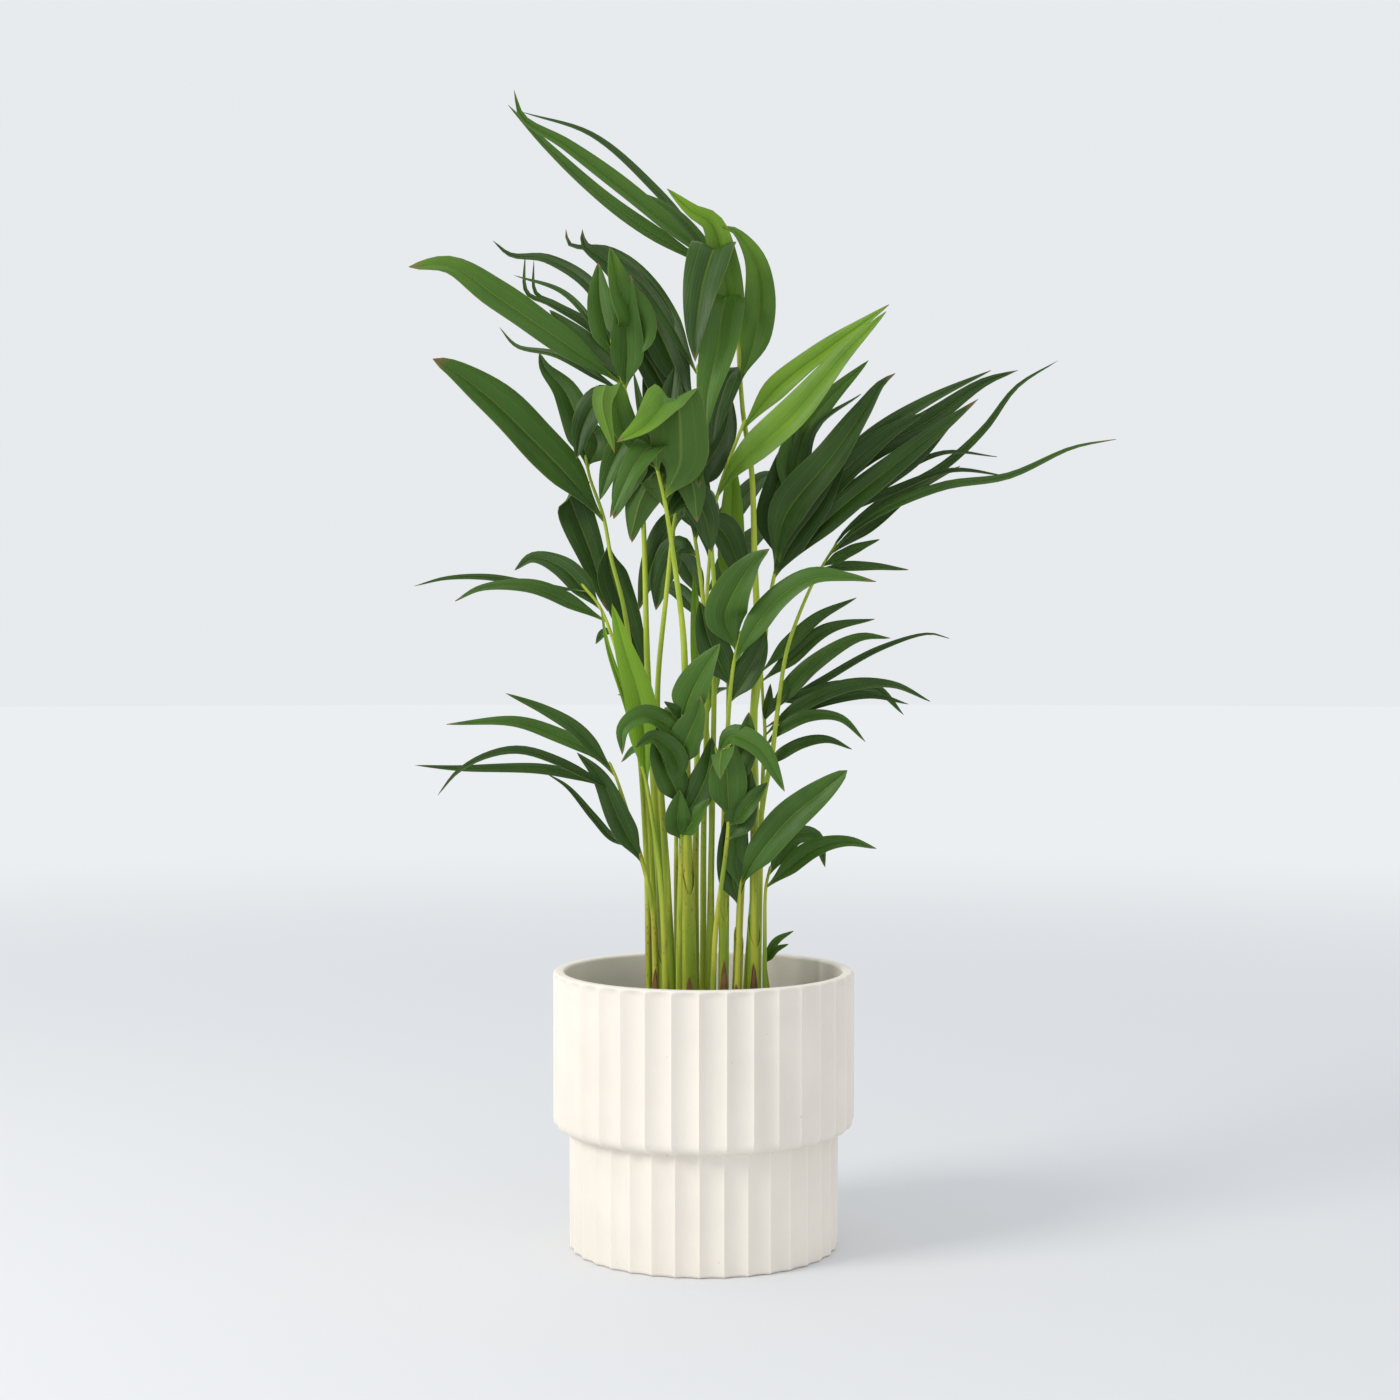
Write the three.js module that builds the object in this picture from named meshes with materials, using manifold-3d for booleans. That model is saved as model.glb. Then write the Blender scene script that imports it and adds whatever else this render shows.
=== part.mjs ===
// Potted areca palm: a fluted two-tier ceramic cover pot with the nursery pot, the soil and the fronds in it.
// Millimetres, +Z up, -Y is the front. The origin is the middle of the cover pot's underside.

import * as THREE from 'three';
import { mergeVertices } from 'three/addons/utils/BufferGeometryUtils.js';
import Module from 'manifold-3d';

const wasm = await Module();
wasm.setup();

// ---- driving dimensions ----

const POT_HEIGHT = 138;
const POT_UPPER_RADIUS = 75.5; // to the flutes' ridges
const POT_LOWER_RADIUS = 67.4;
const POT_WALL = 6.1;
const POT_FLOOR = 8;
const STEP_HEIGHT = 59.5; // underside of the upper tier
const STEP_ROUND = 6; // rounding of the upper tier's lower edge
const FLUTES = 36;
const FLUTE_DEPTH_UPPER = 1.6;
const FLUTE_DEPTH_LOWER = 1.2;
const FLUTE_COLUMNS = 3; // facets across one flute
const FOOT_ROUND = 1.8;
const RIM_ROUND = 2.2;
const FLUTE_TURN = THREE.MathUtils.degToRad(-91.6); // one ridge stands just left of the front

const NURSERY_BASE_RADIUS = 46;
const NURSERY_RIM_RADIUS = 61.5;
const NURSERY_RIM_Z = 113.5;
const NURSERY_WALL = 1.4;
const NURSERY_SIDES = 36;
const DRAIN_HOLES = 8;
const DRAIN_RADIUS = 4;
const DRAIN_CIRCLE = 33;

const SOIL_TOP = 106;
const SOIL_MOUND = 1.5; // the soil's middle stands this much higher
const ROOT_DEPTH = 8; // how far a stalk's foot goes into the soil

const GAP = 0.35; // clearance between touching pieces
const SOCKET_GAP = 1.2; // clearance round a stalk's foot in the soil
const SMALLEST_EDGE = 0.02; // slivers shorter than this are closed up where leaflets join

const STALK_SIDES = 5;
const STALK_STEPS = 9;
const LEAFLET_RINGS = 5; // for a leaflet of up to three points; a more curved one has more
const BLADE_THICKNESS = 1; // at the midrib
const BLADE_FOLD = 0.13; // depth of the blade's valley over its width
const BEND_ROOM = 0.45; // share of an edgewise bend's radius that half a blade may fill
const LEAF_FACE = [0, -0.87, 0.5]; // the way most blades' upper sides look
const SHEATH_THICKNESS = 0.9;
const SHEATH_SPREAD = THREE.MathUtils.degToRad(37); // a dry sheath's half angle round its stalk

// ---- colours ----

const material = (color, roughness) => new THREE.MeshStandardMaterial({ color, roughness, metalness: 0 });

const CREAM_CERAMIC = material(0xefe8da, 0.75);
const BLACK_PLASTIC = material(0x26282a, 0.6);
const POTTING_SOIL = material(0x3a2a1e, 1);
const DARK_LEAF = material(0x2f4f24, 0.5);
const FRESH_LEAF = material(0x56762a, 0.5);
const DRY_SHEATH = material(0x6a4a2c, 0.9);

const palm = new THREE.Group();

function addPiece(name, geometry, finish) {
  const mesh = new THREE.Mesh(geometry, finish);
  mesh.name = name;
  palm.add(mesh);
}

// ---- closed solids ----

// A BufferGeometry from a list of points and a list of triangles.
function closedGeometry(points, triangles) {
  const geometry = new THREE.BufferGeometry();
  const numbers = points.flatMap((p) => [p.x, p.y, p.z]);
  geometry.setAttribute('position', new THREE.Float32BufferAttribute(numbers, 3));
  geometry.setIndex(triangles.flat());
  return geometry;
}

// Rings of equal length joined in order; each end closes on a point of its own. Neighbouring quads are split
// in opposite ways, so the two skins of a thin twisted blade never cross.
function loft(rings, startPoint, endPoint) {
  const count = rings[0].length;
  const points = [...rings.flat(), startPoint, endPoint];
  const start = points.length - 2;
  const end = points.length - 1;
  const lastRing = (rings.length - 1) * count;
  const triangles = [];
  for (let i = 0; i < count; i++) {
    const next = (i + 1) % count;
    triangles.push([start, next, i], [end, lastRing + i, lastRing + next]);
    for (let ring = 0; ring < rings.length - 1; ring++) {
      const a = ring * count + i;
      const b = ring * count + next;
      if (i % 2 === 0) triangles.push([a, b, b + count], [a, b + count, a + count]);
      else triangles.push([a, b, a + count], [b, b + count, a + count]);
    }
  }
  return closedGeometry(points, triangles);
}

function toSolid(geometry) {
  const bare = geometry.clone();
  bare.deleteAttribute('normal');
  bare.deleteAttribute('uv');
  const merged = mergeVertices(bare, 1e-4);
  return new wasm.Manifold(new wasm.Mesh({
    numProp: 3,
    vertProperties: new Float32Array(merged.attributes.position.array),
    triVerts: new Uint32Array(merged.index.array),
  }));
}

function toGeometry(solid) {
  const mesh = solid.getMesh();
  const geometry = new THREE.BufferGeometry();
  geometry.setAttribute('position', new THREE.BufferAttribute(new Float32Array(mesh.vertProperties), 3));
  geometry.setIndex(new THREE.BufferAttribute(new Uint32Array(mesh.triVerts), 1));
  return geometry;
}

const turned = (profile, sides) => {
  const geometry = new THREE.LatheGeometry(profile.map(([r, z]) => new THREE.Vector2(r, z)), sides);
  return geometry.rotateX(Math.PI / 2);
};

function uprightCylinder(radius, height, sides, x, y, middleZ) {
  const geometry = new THREE.CylinderGeometry(radius, radius, height, sides);
  return geometry.rotateX(Math.PI / 2).translate(x, y, middleZ);
}

// ---- pots and soil ----

// One level of the cover pot: a circle whose flutes are hollowed by depth, ridges kept at radius.
function potRing(radius, z, depth) {
  const columns = FLUTES * FLUTE_COLUMNS;
  return Array.from({ length: columns }, (_, i) => {
    const across = (i % FLUTE_COLUMNS) / FLUTE_COLUMNS;
    const hollow = depth * 4 * across * (1 - across);
    const angle = FLUTE_TURN + (i / columns) * 2 * Math.PI;
    return new THREE.Vector3((radius - hollow) * Math.cos(angle), (radius - hollow) * Math.sin(angle), z);
  });
}

function coverPot() {
  const innerRadius = POT_UPPER_RADIUS - POT_WALL;
  const lowerInner = POT_LOWER_RADIUS - POT_WALL + 1.4;
  const rings = [
    potRing(POT_LOWER_RADIUS - FOOT_ROUND, 0, FLUTE_DEPTH_LOWER * 0.8),
    potRing(POT_LOWER_RADIUS, FOOT_ROUND, FLUTE_DEPTH_LOWER),
    potRing(POT_LOWER_RADIUS, STEP_HEIGHT + 0.5, FLUTE_DEPTH_LOWER),
    potRing(POT_UPPER_RADIUS - STEP_ROUND, STEP_HEIGHT, 0.3),
    potRing(POT_UPPER_RADIUS - 1.6, STEP_HEIGHT + 2, 1.1),
    potRing(POT_UPPER_RADIUS, STEP_HEIGHT + STEP_ROUND, FLUTE_DEPTH_UPPER),
    potRing(POT_UPPER_RADIUS, POT_HEIGHT - 5, FLUTE_DEPTH_UPPER),
    potRing(POT_UPPER_RADIUS - 0.8, POT_HEIGHT - 1, 0.7),
    potRing(POT_UPPER_RADIUS - RIM_ROUND, POT_HEIGHT, 0),
    potRing(innerRadius + 1, POT_HEIGHT, 0),
    potRing(innerRadius, POT_HEIGHT - 1.2, 0),
    potRing(innerRadius, STEP_HEIGHT + 14, 0),
    potRing(lowerInner, STEP_HEIGHT + 4, 0),
    potRing(lowerInner, POT_FLOOR, 0),
  ];
  return loft(rings, new THREE.Vector3(0, 0, 0), new THREE.Vector3(0, 0, POT_FLOOR));
}

// Inner radius of the nursery pot at a height.
function nurseryRadius(z) {
  const base = POT_FLOOR + GAP;
  const share = (z - base) / (NURSERY_RIM_Z - base);
  return NURSERY_BASE_RADIUS + share * (NURSERY_RIM_RADIUS - 3 - NURSERY_BASE_RADIUS);
}

function nurseryPot() {
  const base = POT_FLOOR + GAP;
  const floor = base + NURSERY_WALL;
  const rimBand = NURSERY_RIM_Z - 9;
  const shell = toSolid(turned([
    [0, base],
    [nurseryRadius(base) + NURSERY_WALL, base],
    [nurseryRadius(rimBand) + NURSERY_WALL, rimBand],
    [NURSERY_RIM_RADIUS, rimBand + 1],
    [NURSERY_RIM_RADIUS, NURSERY_RIM_Z],
    [nurseryRadius(NURSERY_RIM_Z), NURSERY_RIM_Z],
    [nurseryRadius(floor), floor],
    [0, floor],
  ], NURSERY_SIDES));
  let pot = shell;
  for (let i = 0; i < DRAIN_HOLES; i++) {
    const angle = (i / DRAIN_HOLES) * 2 * Math.PI;
    const x = DRAIN_CIRCLE * Math.cos(angle);
    const y = DRAIN_CIRCLE * Math.sin(angle);
    pot = pot.subtract(toSolid(uprightCylinder(DRAIN_RADIUS, NURSERY_WALL * 4, 10, x, y, floor)));
  }
  return toGeometry(pot);
}

// The root ball, with a socket for the foot of every stalk.
function soil(feet) {
  const bottom = POT_FLOOR + GAP + NURSERY_WALL + GAP;
  let block = toSolid(turned([
    [0, bottom],
    [nurseryRadius(bottom) - GAP, bottom],
    [nurseryRadius(SOIL_TOP) - GAP, SOIL_TOP],
    [NURSERY_BASE_RADIUS - 6, SOIL_TOP + SOIL_MOUND * 0.6],
    [0, SOIL_TOP + SOIL_MOUND],
  ], NURSERY_SIDES));
  const socketHeight = ROOT_DEPTH * 2;
  const socketMiddle = SOIL_TOP - ROOT_DEPTH - GAP + socketHeight / 2;
  for (const [x, y, radius] of feet) {
    block = block.subtract(toSolid(uprightCylinder(radius, socketHeight, 7, x, y, socketMiddle)));
  }
  return toGeometry(block);
}

// ---- palm ----

const vector = (point) => new THREE.Vector3(...point);

// The point where a rising curve reaches a height.
function atHeight(curve, z) {
  let low = 0;
  let high = 1;
  for (let i = 0; i < 24; i++) {
    const middle = (low + high) / 2;
    if (curve.getPoint(middle).z < z) low = middle;
    else high = middle;
  }
  return curve.getPoint(low);
}

// A tapering stalk: thick at the foot, closed by a point at its far end.
function stalk(path, footRadius, endRadius) {
  const curve = new THREE.CatmullRomCurve3(path.map(vector), false, 'centripetal');
  const rings = [];
  for (let step = 0; step <= STALK_STEPS; step++) {
    const u = 1 - Math.pow(1 - step / STALK_STEPS, 1.6); // closer together towards the end, where it bends
    const centre = curve.getPointAt(u);
    const forward = curve.getTangentAt(u);
    const right = new THREE.Vector3(0, -1, 0).cross(forward).normalize();
    const up = forward.clone().cross(right);
    const radius = footRadius + (endRadius - footRadius) * u;
    rings.push(Array.from({ length: STALK_SIDES }, (_, i) => {
      const angle = (i / STALK_SIDES) * 2 * Math.PI;
      return centre.clone()
        .addScaledVector(right, radius * Math.cos(angle))
        .addScaledVector(up, radius * Math.sin(angle));
    }));
  }
  const end = curve.getPointAt(1).addScaledVector(curve.getTangentAt(1), endRadius * 2);
  return { curve, geometry: loft(rings, curve.getPointAt(0), end) };
}

// How wide a blade is along its length, as a share of its full width.
const bladeProfile = (u) => Math.pow(Math.sin(Math.PI * Math.pow(0.03 + 0.97 * u, 0.7)), 0.9);

// The widest half blade that doesn't run through itself where a leaflet bends edgewise between two rings.
function bendRoom(frame, other) {
  if (!other) return Infinity;
  const turn = other.forward.clone().sub(frame.forward);
  const edgewise = Math.abs(turn.dot(frame.across));
  const flatwise = Math.abs(turn.dot(frame.normal));
  const share = edgewise / Math.max(edgewise + flatwise, 0.001);
  return (BEND_ROOM * frame.point.distanceTo(other.point)) / Math.max(turn.length() * share, 0.01);
}

// A leaflet: a shallow valley along a curve, from its root on the stalk to a pointed tip.
function leaflet(root, width, points, face) {
  const curve = new THREE.CatmullRomCurve3([root, ...points.map(vector)], false, 'centripetal');
  const ringCount = LEAFLET_RINGS + Math.max(0, points.length - 3);
  const chord = vector(points[points.length - 1]).sub(root);
  let lastAcross = chord.cross(vector(face)).normalize();
  const frames = [];
  for (let ring = 0; ring <= ringCount; ring++) {
    const u = ring / ringCount;
    const forward = curve.getTangentAt(u);
    // where the blade runs along its own face direction, it keeps the ring before's direction across
    const across = forward.clone().cross(vector(face));
    if (across.dot(lastAcross) < 0) across.negate();
    across.addScaledVector(lastAcross, 1 - across.length());
    across.addScaledVector(forward, -across.dot(forward)).normalize();
    lastAcross = across;
    const normal = across.clone().cross(forward).normalize();
    frames.push({ point: curve.getPointAt(u), forward, across, normal, half: 0.5 * width * bladeProfile(u) });
  }
  const rings = frames.slice(0, ringCount).map((frame, i) => {
    const room = Math.min(frame.half, bendRoom(frame, frames[i - 1]), bendRoom(frame, frames[i + 1]));
    const half = Math.max(0.7, room);
    const thickness = Math.min(BLADE_THICKNESS, half) / 2;
    const { point, across, normal } = frame;
    const middle = point.clone().addScaledVector(normal, -2 * half * BLADE_FOLD);
    return [
      point.clone().addScaledVector(across, half),
      middle.clone().addScaledVector(normal, -thickness),
      point.clone().addScaledVector(across, -half),
      middle.clone().addScaledVector(normal, thickness),
    ];
  });
  const start = rings[0][1].clone().lerp(rings[0][3], 0.5);
  return loft(rings, start, curve.getPointAt(1));
}

const feet = [];

// A frond: its stalk from the soil up, and leaflets given as [height on the stalk, width, points..., tip].
function frond(name, finish, { path, radii, leaflets }) {
  const [x, y] = path[0];
  feet.push([x, y, radii[0] + SOCKET_GAP]);
  const { curve, geometry } = stalk(path, ...radii);
  let solid = toSolid(geometry);
  for (const [height, width, ...points] of leaflets) {
    solid = solid.add(toSolid(leaflet(atHeight(curve, height), width, points, LEAF_FACE)));
  }
  addPiece(name, toGeometry(solid.simplify(SMALLEST_EDGE)), finish);
}

// A dry sheath: a curved scale that stands against the front of a stalk and narrows to a point.
function drySheath(name, x, y, radius, height) {
  const foot = SOIL_TOP + SOIL_MOUND + 1;
  const levels = 4;
  const rings = [];
  for (let level = 0; level < levels; level++) {
    const share = level / levels;
    const spread = SHEATH_SPREAD * (1 - share);
    const arc = [-1, -0.33, 0.33, 1].map((side) => -Math.PI / 2 + side * spread);
    const at = (angle, r) => new THREE.Vector3(
      x + r * Math.cos(angle),
      y + r * Math.sin(angle),
      foot + share * height,
    );
    rings.push([
      ...arc.map((angle) => at(angle, radius + SHEATH_THICKNESS)),
      ...arc.reverse().map((angle) => at(angle, radius)),
    ]);
  }
  const middle = new THREE.Vector3(x, y - radius - SHEATH_THICKNESS / 2, foot);
  const tip = middle.clone().setZ(foot + height);
  addPiece(name, loft(rings, middle, tip), DRY_SHEATH);
}

frond('crown_frond', DARK_LEAF, {
  path: [[25, -4, 98], [25.5, -4, 223], [25, -3, 265], [27, -2, 299], [25.5, 0, 343], [24, 3, 388],
    [20, 6, 415],
    [18.5, 8, 433], [15, 10, 474], [9, 10, 489], [3, 8, 496]],
  radii: [2.8, 0.8],
  leaflets: [
    [490, 4.5, [-24, 22, 531], [-57, 30, 561], [-92, 34, 573]],
    [488, 10, [-14, 0, 507], [-42, -6, 529], [-68, -10, 547.5], [-89, -13, 560], [-93, -15, 573]],
    [486, 8.5, [-28, 14, 510], [-55.5, 18, 531], [-80, 21, 554], [-99, 22, 574]],
    [484, 8, [-14, 12, 517], [-38, 16, 531]],
    [452, 15, [13, -8, 470], [10, -12, 489], [4, -15, 508], [-5, -17, 513], [-18, -18, 524]],
    [433, 16, [25, -2, 452], [28, -6, 474], [25, -9, 492], [16, -12, 504], [9, -15, 506]],
    [492, 18, [5, -20, 497], [-1, -30, 476], [-4, -34, 452], [-4, -36, 437]],
    [482, 18, [10, -18, 468], [7, -26, 446], [2, -32, 422], [1, -36, 403]],
    [440, 13, [13, -4, 434], [7, -12, 416], [4, -16, 399]],
    [480, 4, [-10, 16, 500], [-30, 20, 508]],
  ],
});

frond('left_crown_frond', DARK_LEAF, {
  path: [[-18, 8, 98], [-22, 8, 180], [-28, 8, 286], [-31, 8, 376], [-36, 6, 415], [-41, 4, 434],
    [-46, 4, 452]],
  radii: [2.6, 0.7],
  leaflets: [
    [430, 17, [-68, -8, 450], [-101, -16, 472], [-124, -20, 486.5], [-144, -22, 485]],
    [432, 14, [-58, 12, 450], [-78, 18, 470]],
    [434, 4, [-53, 16, 457], [-78, 24, 474], [-90, 27, 480], [-91, 28, 500]],
    [436, 4, [-52, 20, 459], [-76, 30, 475], [-86, 33, 481], [-87, 34, 498]],
    [426, 4.5, [-74, 24, 448], [-96, 34, 454], [-105, 38, 464]],
    [439.5, 17, [-33, -4, 459], [-41, -10, 478], [-46, -14, 496]],
    [442, 14, [-52, 10, 474], [-53, 12, 493]],
    [448, 7.5, [-55, 20, 480], [-80, 30, 498], [-99, 34, 500.5], [-108, 36, 508]],
    [446, 3.5, [-70, 16, 478], [-96, 22, 488]],
  ],
});

frond('inner_crown_frond', DARK_LEAF, {
  path: [[-14, -2, 98], [-18, -3, 180], [-23, -3, 273], [-18.5, -2, 326], [-14.5, 1, 362], [-7, 7, 400],
    [-3, 8, 425],
    [-3, 9, 440]],
  radii: [2.2, 0.7],
  leaflets: [
    [436, 10, [-28, 26, 484], [-49, 36, 503], [-69, 40, 507], [-71, 42, 515]],
    [417, 18, [-32, 24, 477.5], [-50, 30, 497], [-61, 33, 505.5], [-62, 34, 513.5]],
  ],
});

frond('left_broad_frond', DARK_LEAF, {
  path: [[-23, 16, 98], [-27, 17, 200], [-40, 20, 317], [-47, 22, 345], [-51, 24, 366], [-58, 26, 386],
    [-60, 27, 396]],
  radii: [2.2, 0.8],
  leaflets: [
    [363, 23, [-68, 13, 387], [-84, 7, 404], [-105, 0, 424], [-124, -6, 437.5], [-134, -8, 442]],
    [390, 16, [-61, 32, 404], [-71, 38, 431], [-82, 42, 444], [-85, 44, 452]],
    [392, 13, [-54, 30, 404], [-61, 34, 418]],
    [384, 18, [-68, 46, 378], [-58, 52, 346], [-50, 54, 318]],
    [352, 16, [-48, 36, 340], [-38, 42, 310], [-29, 44, 281]],
  ],
});

frond('left_middle_frond', DARK_LEAF, {
  path: [[-27, 6, 98], [-29, 2, 200], [-34, -3, 260], [-44, -4, 300], [-52, -2, 320], [-60, -2, 330]],
  radii: [1.9, 0.7],
  leaflets: [
    [312, 9.5, [-68, -8, 323], [-87.5, -12, 330], [-110, -14, 328.5], [-122.5, -15, 322]],
    [318, 12, [-71, 4, 340], [-86, 8, 344.5], [-95, 8, 338]],
    [327, 4, [-88, 2, 331], [-108, 4, 334.5], [-129, 5, 334], [-145, 5, 330]],
    [306, 5, [-50, 2, 307], [-54, 3, 301]],
  ],
});

frond('lower_left_frond', DARK_LEAF, {
  path: [[-24, -5, 98], [-24, -6, 150], [-26, -10, 175], [-34, -14, 206], [-43, -17, 235], [-46, -18, 242]],
  radii: [2, 0.7],
  leaflets: [
    [237, 7, [-62, -24, 259], [-77, -28, 268.5], [-96.5, -30, 277]],
    [235, 7.5, [-54, -12, 247], [-74, -8, 256.5], [-94, -6, 262.5], [-128, -5, 261]],
    [226, 5, [-69, -36, 243.5], [-89, -44, 250], [-104, -48, 247.5], [-118, -50, 239.5], [-127, -52, 228.5]],
    [228, 5.5, [-61, -22, 236], [-80, -26, 240], [-119, -32, 240.5], [-140, -34, 242]],
    [192, 12, [-41, -20, 214], [-51, -24, 236], [-62, -26, 248]],
    [200, 4, [-45, -4, 204], [-55, 0, 214.5], [-68.5, 4, 229.5], [-79, 6, 236]],
  ],
});

frond('left_young_leaf', FRESH_LEAF, {
  path: [[-18, -13, 98], [-21, -16, 180], [-28, -18, 232], [-30, -18, 240]],
  radii: [1.9, 0.9],
  leaflets: [
    [232, 15, [-31, -19, 272], [-39, -20, 299], [-45, -20, 321]],
    [228, 4, [-36, -15, 266], [-47, -14, 299], [-51, -13, 321]],
  ],
});

frond('front_frond', DARK_LEAF, {
  path: [[-7, -8, 98], [-8, -12, 200], [-9, -16, 280], [-10, -20, 306], [-14, -26, 339], [-19, -33, 371],
    [-24, -38, 392]],
  radii: [3.3, 0.8],
  leaflets: [
    [388, 13, [-36, -44, 402], [-45, -51, 423], [-48, -57, 415], [-42, -60, 391]],
    [371.5, 22, [-11, -42, 386], [-11.5, -48, 398], [-15, -54, 420], [-28, -60, 405], [-41, -62, 396]],
    [384, 13, [-24, -52, 396], [-33, -64, 385], [-44, -68, 360]],
    [389, 13, [-36, -38, 400], [-44, -40, 388], [-50, -40, 370]],
    [390, 5, [-30, -32, 414], [-34, -30, 433]],
    [386, 16, [-30, -28, 394], [-38, -24, 380], [-44, -22, 362]],
    [376, 17, [-12, -30, 388], [-6, -30, 378], [-3, -30, 360]],
    [389, 15, [-14, -34, 406], [-6, -36, 398], [-2, -38, 376]],
  ],
});

frond('centre_frond', DARK_LEAF, {
  path: [[0, 6, 98], [0, 6, 200], [1.5, 6, 298], [-4, 1, 352], [-12, -8, 389], [-16, -10, 405]],
  radii: [1.9, 0.7],
  leaflets: [
    [352, 13, [-3, -7, 370], [-4, -14, 392], [-5, -18, 410]],
    [384, 16, [-18, 10, 404], [-26, 14, 426], [-30, 16, 442]],
    [395, 13, [-24, -8, 408], [-34, -12, 402], [-44, -14, 384]],
    [368, 14, [-18, 12, 360], [-27, 18, 340], [-33, 20, 318]],
  ],
});

frond('bright_frond', FRESH_LEAF, {
  path: [[2, -6, 98], [4, -6, 200], [5.5, -6, 323], [4, -8, 360], [8, -12, 378], [14, -15, 395],
    [20, -18, 410]],
  radii: [1.9, 0.8],
  leaflets: [
    [405, 12, [37, -18, 428], [62, -22, 447], [90, -30, 465.5]],
    [374, 17, [16, -22, 388], [43, -29, 413], [68, -35, 441.5], [88, -38, 461]],
  ],
});

frond('right_fan_frond', DARK_LEAF, {
  path: [[16, 4, 98], [19, 5, 180], [25, 8, 260], [30, 10, 295], [33, 14, 320], [37, 18, 340], [44, 22, 358],
    [52, 26, 374]],
  radii: [2.2, 0.8],
  leaflets: [
    [338, 19, [41, 8, 366], [64, 2, 396], [79, -4, 417], [88, -6, 430], [95, -7, 435]],
    [340, 11, [73, 24, 392], [114, 30, 415], [144, 36, 435.5], [162, 38, 442]],
    [336, 11, [62, 14, 364], [103, 10, 397], [138, 8, 424]],
    [360, 7.5, [62, 34, 368], [107, 40, 393], [128, 42, 414]],
    [372, 8.5, [82, 22, 404], [113, 16, 424], [145, 14, 439]],
    [372, 5, [56, 26, 410], [80, 22, 428]],
    [366, 8, [44, 30, 395], [60, 34, 422], [85, 36, 447]],
    [358, 4.5, [90, 40, 384], [124, 42, 400], [152, 44, 398]],
    [356, 4.5, [92, 32, 378], [127, 30, 390], [155, 30, 387]],
    [344, 13, [33, 26, 362], [40, 30, 390], [48, 32, 412], [50, 33, 424]],
    [350, 15, [60, 16, 378], [88, 14, 404], [112, 12, 418]],
  ],
});

frond('right_frond', DARK_LEAF, {
  path: [[20, 14, 98], [25, 17, 170], [30.5, 20, 222], [35, 22, 245], [37.5, 24, 265], [43, 27, 299],
    [54, 31, 328],
    [61, 34, 341], [68, 36, 352]],
  radii: [2, 0.7],
  leaflets: [
    [341, 7, [78, 30, 350], [90, 28, 354.5]],
    [340, 6, [82, 38, 341.5], [106, 42, 339.5]],
    [344, 5, [73, 42, 359], [96, 46, 377], [124, 48, 393], [146, 50, 413], [163, 52, 435], [185, 54, 449]],
    [343, 5, [72, 30, 355], [89, 22, 368], [121, 18, 381], [154, 18, 386], [187, 18, 400.5],
      [208.5, 16, 404.5]],
    [347, 9, [84, 44, 362], [110, 50, 382], [134, 54, 394]],
  ],
});

frond('right_front_frond', DARK_LEAF, {
  path: [[10, -7, 98], [10, -9, 180], [11, -12, 240], [14, -15, 285], [16, -17, 297], [18, -18, 306]],
  radii: [2.4, 0.8],
  leaflets: [
    [291, 13, [21, -22, 303.5], [36, -28, 323.5], [52.5, -32, 334], [69.5, -34, 333.5], [83.5, -36, 331]],
    [298, 20, [11, -24, 317], [23, -30, 340], [32, -33, 347]],
  ],
});

frond('right_low_frond', DARK_LEAF, {
  path: [[27, 21, 98], [29, 25, 180], [30.5, 28, 236], [31.5, 30, 256], [30.5, 31, 272], [30, 32, 284],
    [30, 33, 292]],
  radii: [1.9, 0.7],
  leaflets: [
    [287, 8, [57, 36, 313.5], [79, 40, 325]],
    [282, 8.5, [43, 34, 292.5], [64, 37, 309], [88.5, 40, 314]],
    [262, 10, [41, 28, 275], [56, 22, 291], [79, 17, 304.5], [94.5, 14, 304]],
    [268, 4, [42, 34, 272], [58, 38, 280.5], [91.5, 42, 299], [117, 44, 306.5], [127.5, 45, 304]],
    [254, 8.5, [42.5, 26, 265], [69, 20, 279], [96, 16, 280.5], [114.5, 12, 272]],
    [272, 8.5, [52, 34, 274], [71, 38, 279], [89, 40, 278.5], [103.5, 40, 264.5]],
    [258, 6, [49, 32, 268], [84, 34, 275], [106, 36, 270]],
    [248, 6.5, [39, 24, 257], [53.5, 20, 264.5], [69.5, 16, 263.5], [82, 14, 251.5]],
    [236, 7, [36, 26, 242], [50, 24, 250.5], [63, 22, 252.5], [75.5, 20, 247.5]],
    [262, 5, [33, 24, 270], [34, 18, 281]],
  ],
});

frond('low_broad_leaf', DARK_LEAF, {
  path: [[16, -15, 98], [17, -16, 150], [18, -18, 180], [20, -21, 188]],
  radii: [1.8, 0.8],
  leaflets: [
    [181, 16, [24, -27, 194], [41, -34, 216], [60, -38, 232], [69.5, -40, 240]],
    [180, 12, [16, -22, 196], [17, -24, 214], [18, -25, 229]],
  ],
});

frond('low_right_frond', DARK_LEAF, {
  path: [[31, -6, 98], [30.5, -7, 150], [31, -9, 180], [33, -11, 190]],
  radii: [1.5, 0.7],
  leaflets: [
    [180, 10, [54, -16, 200], [70.5, -20, 204], [85, -22, 200.5]],
    [186, 10, [45, -4, 205], [56, 0, 204.5], [61, 2, 189]],
  ],
});

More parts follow.
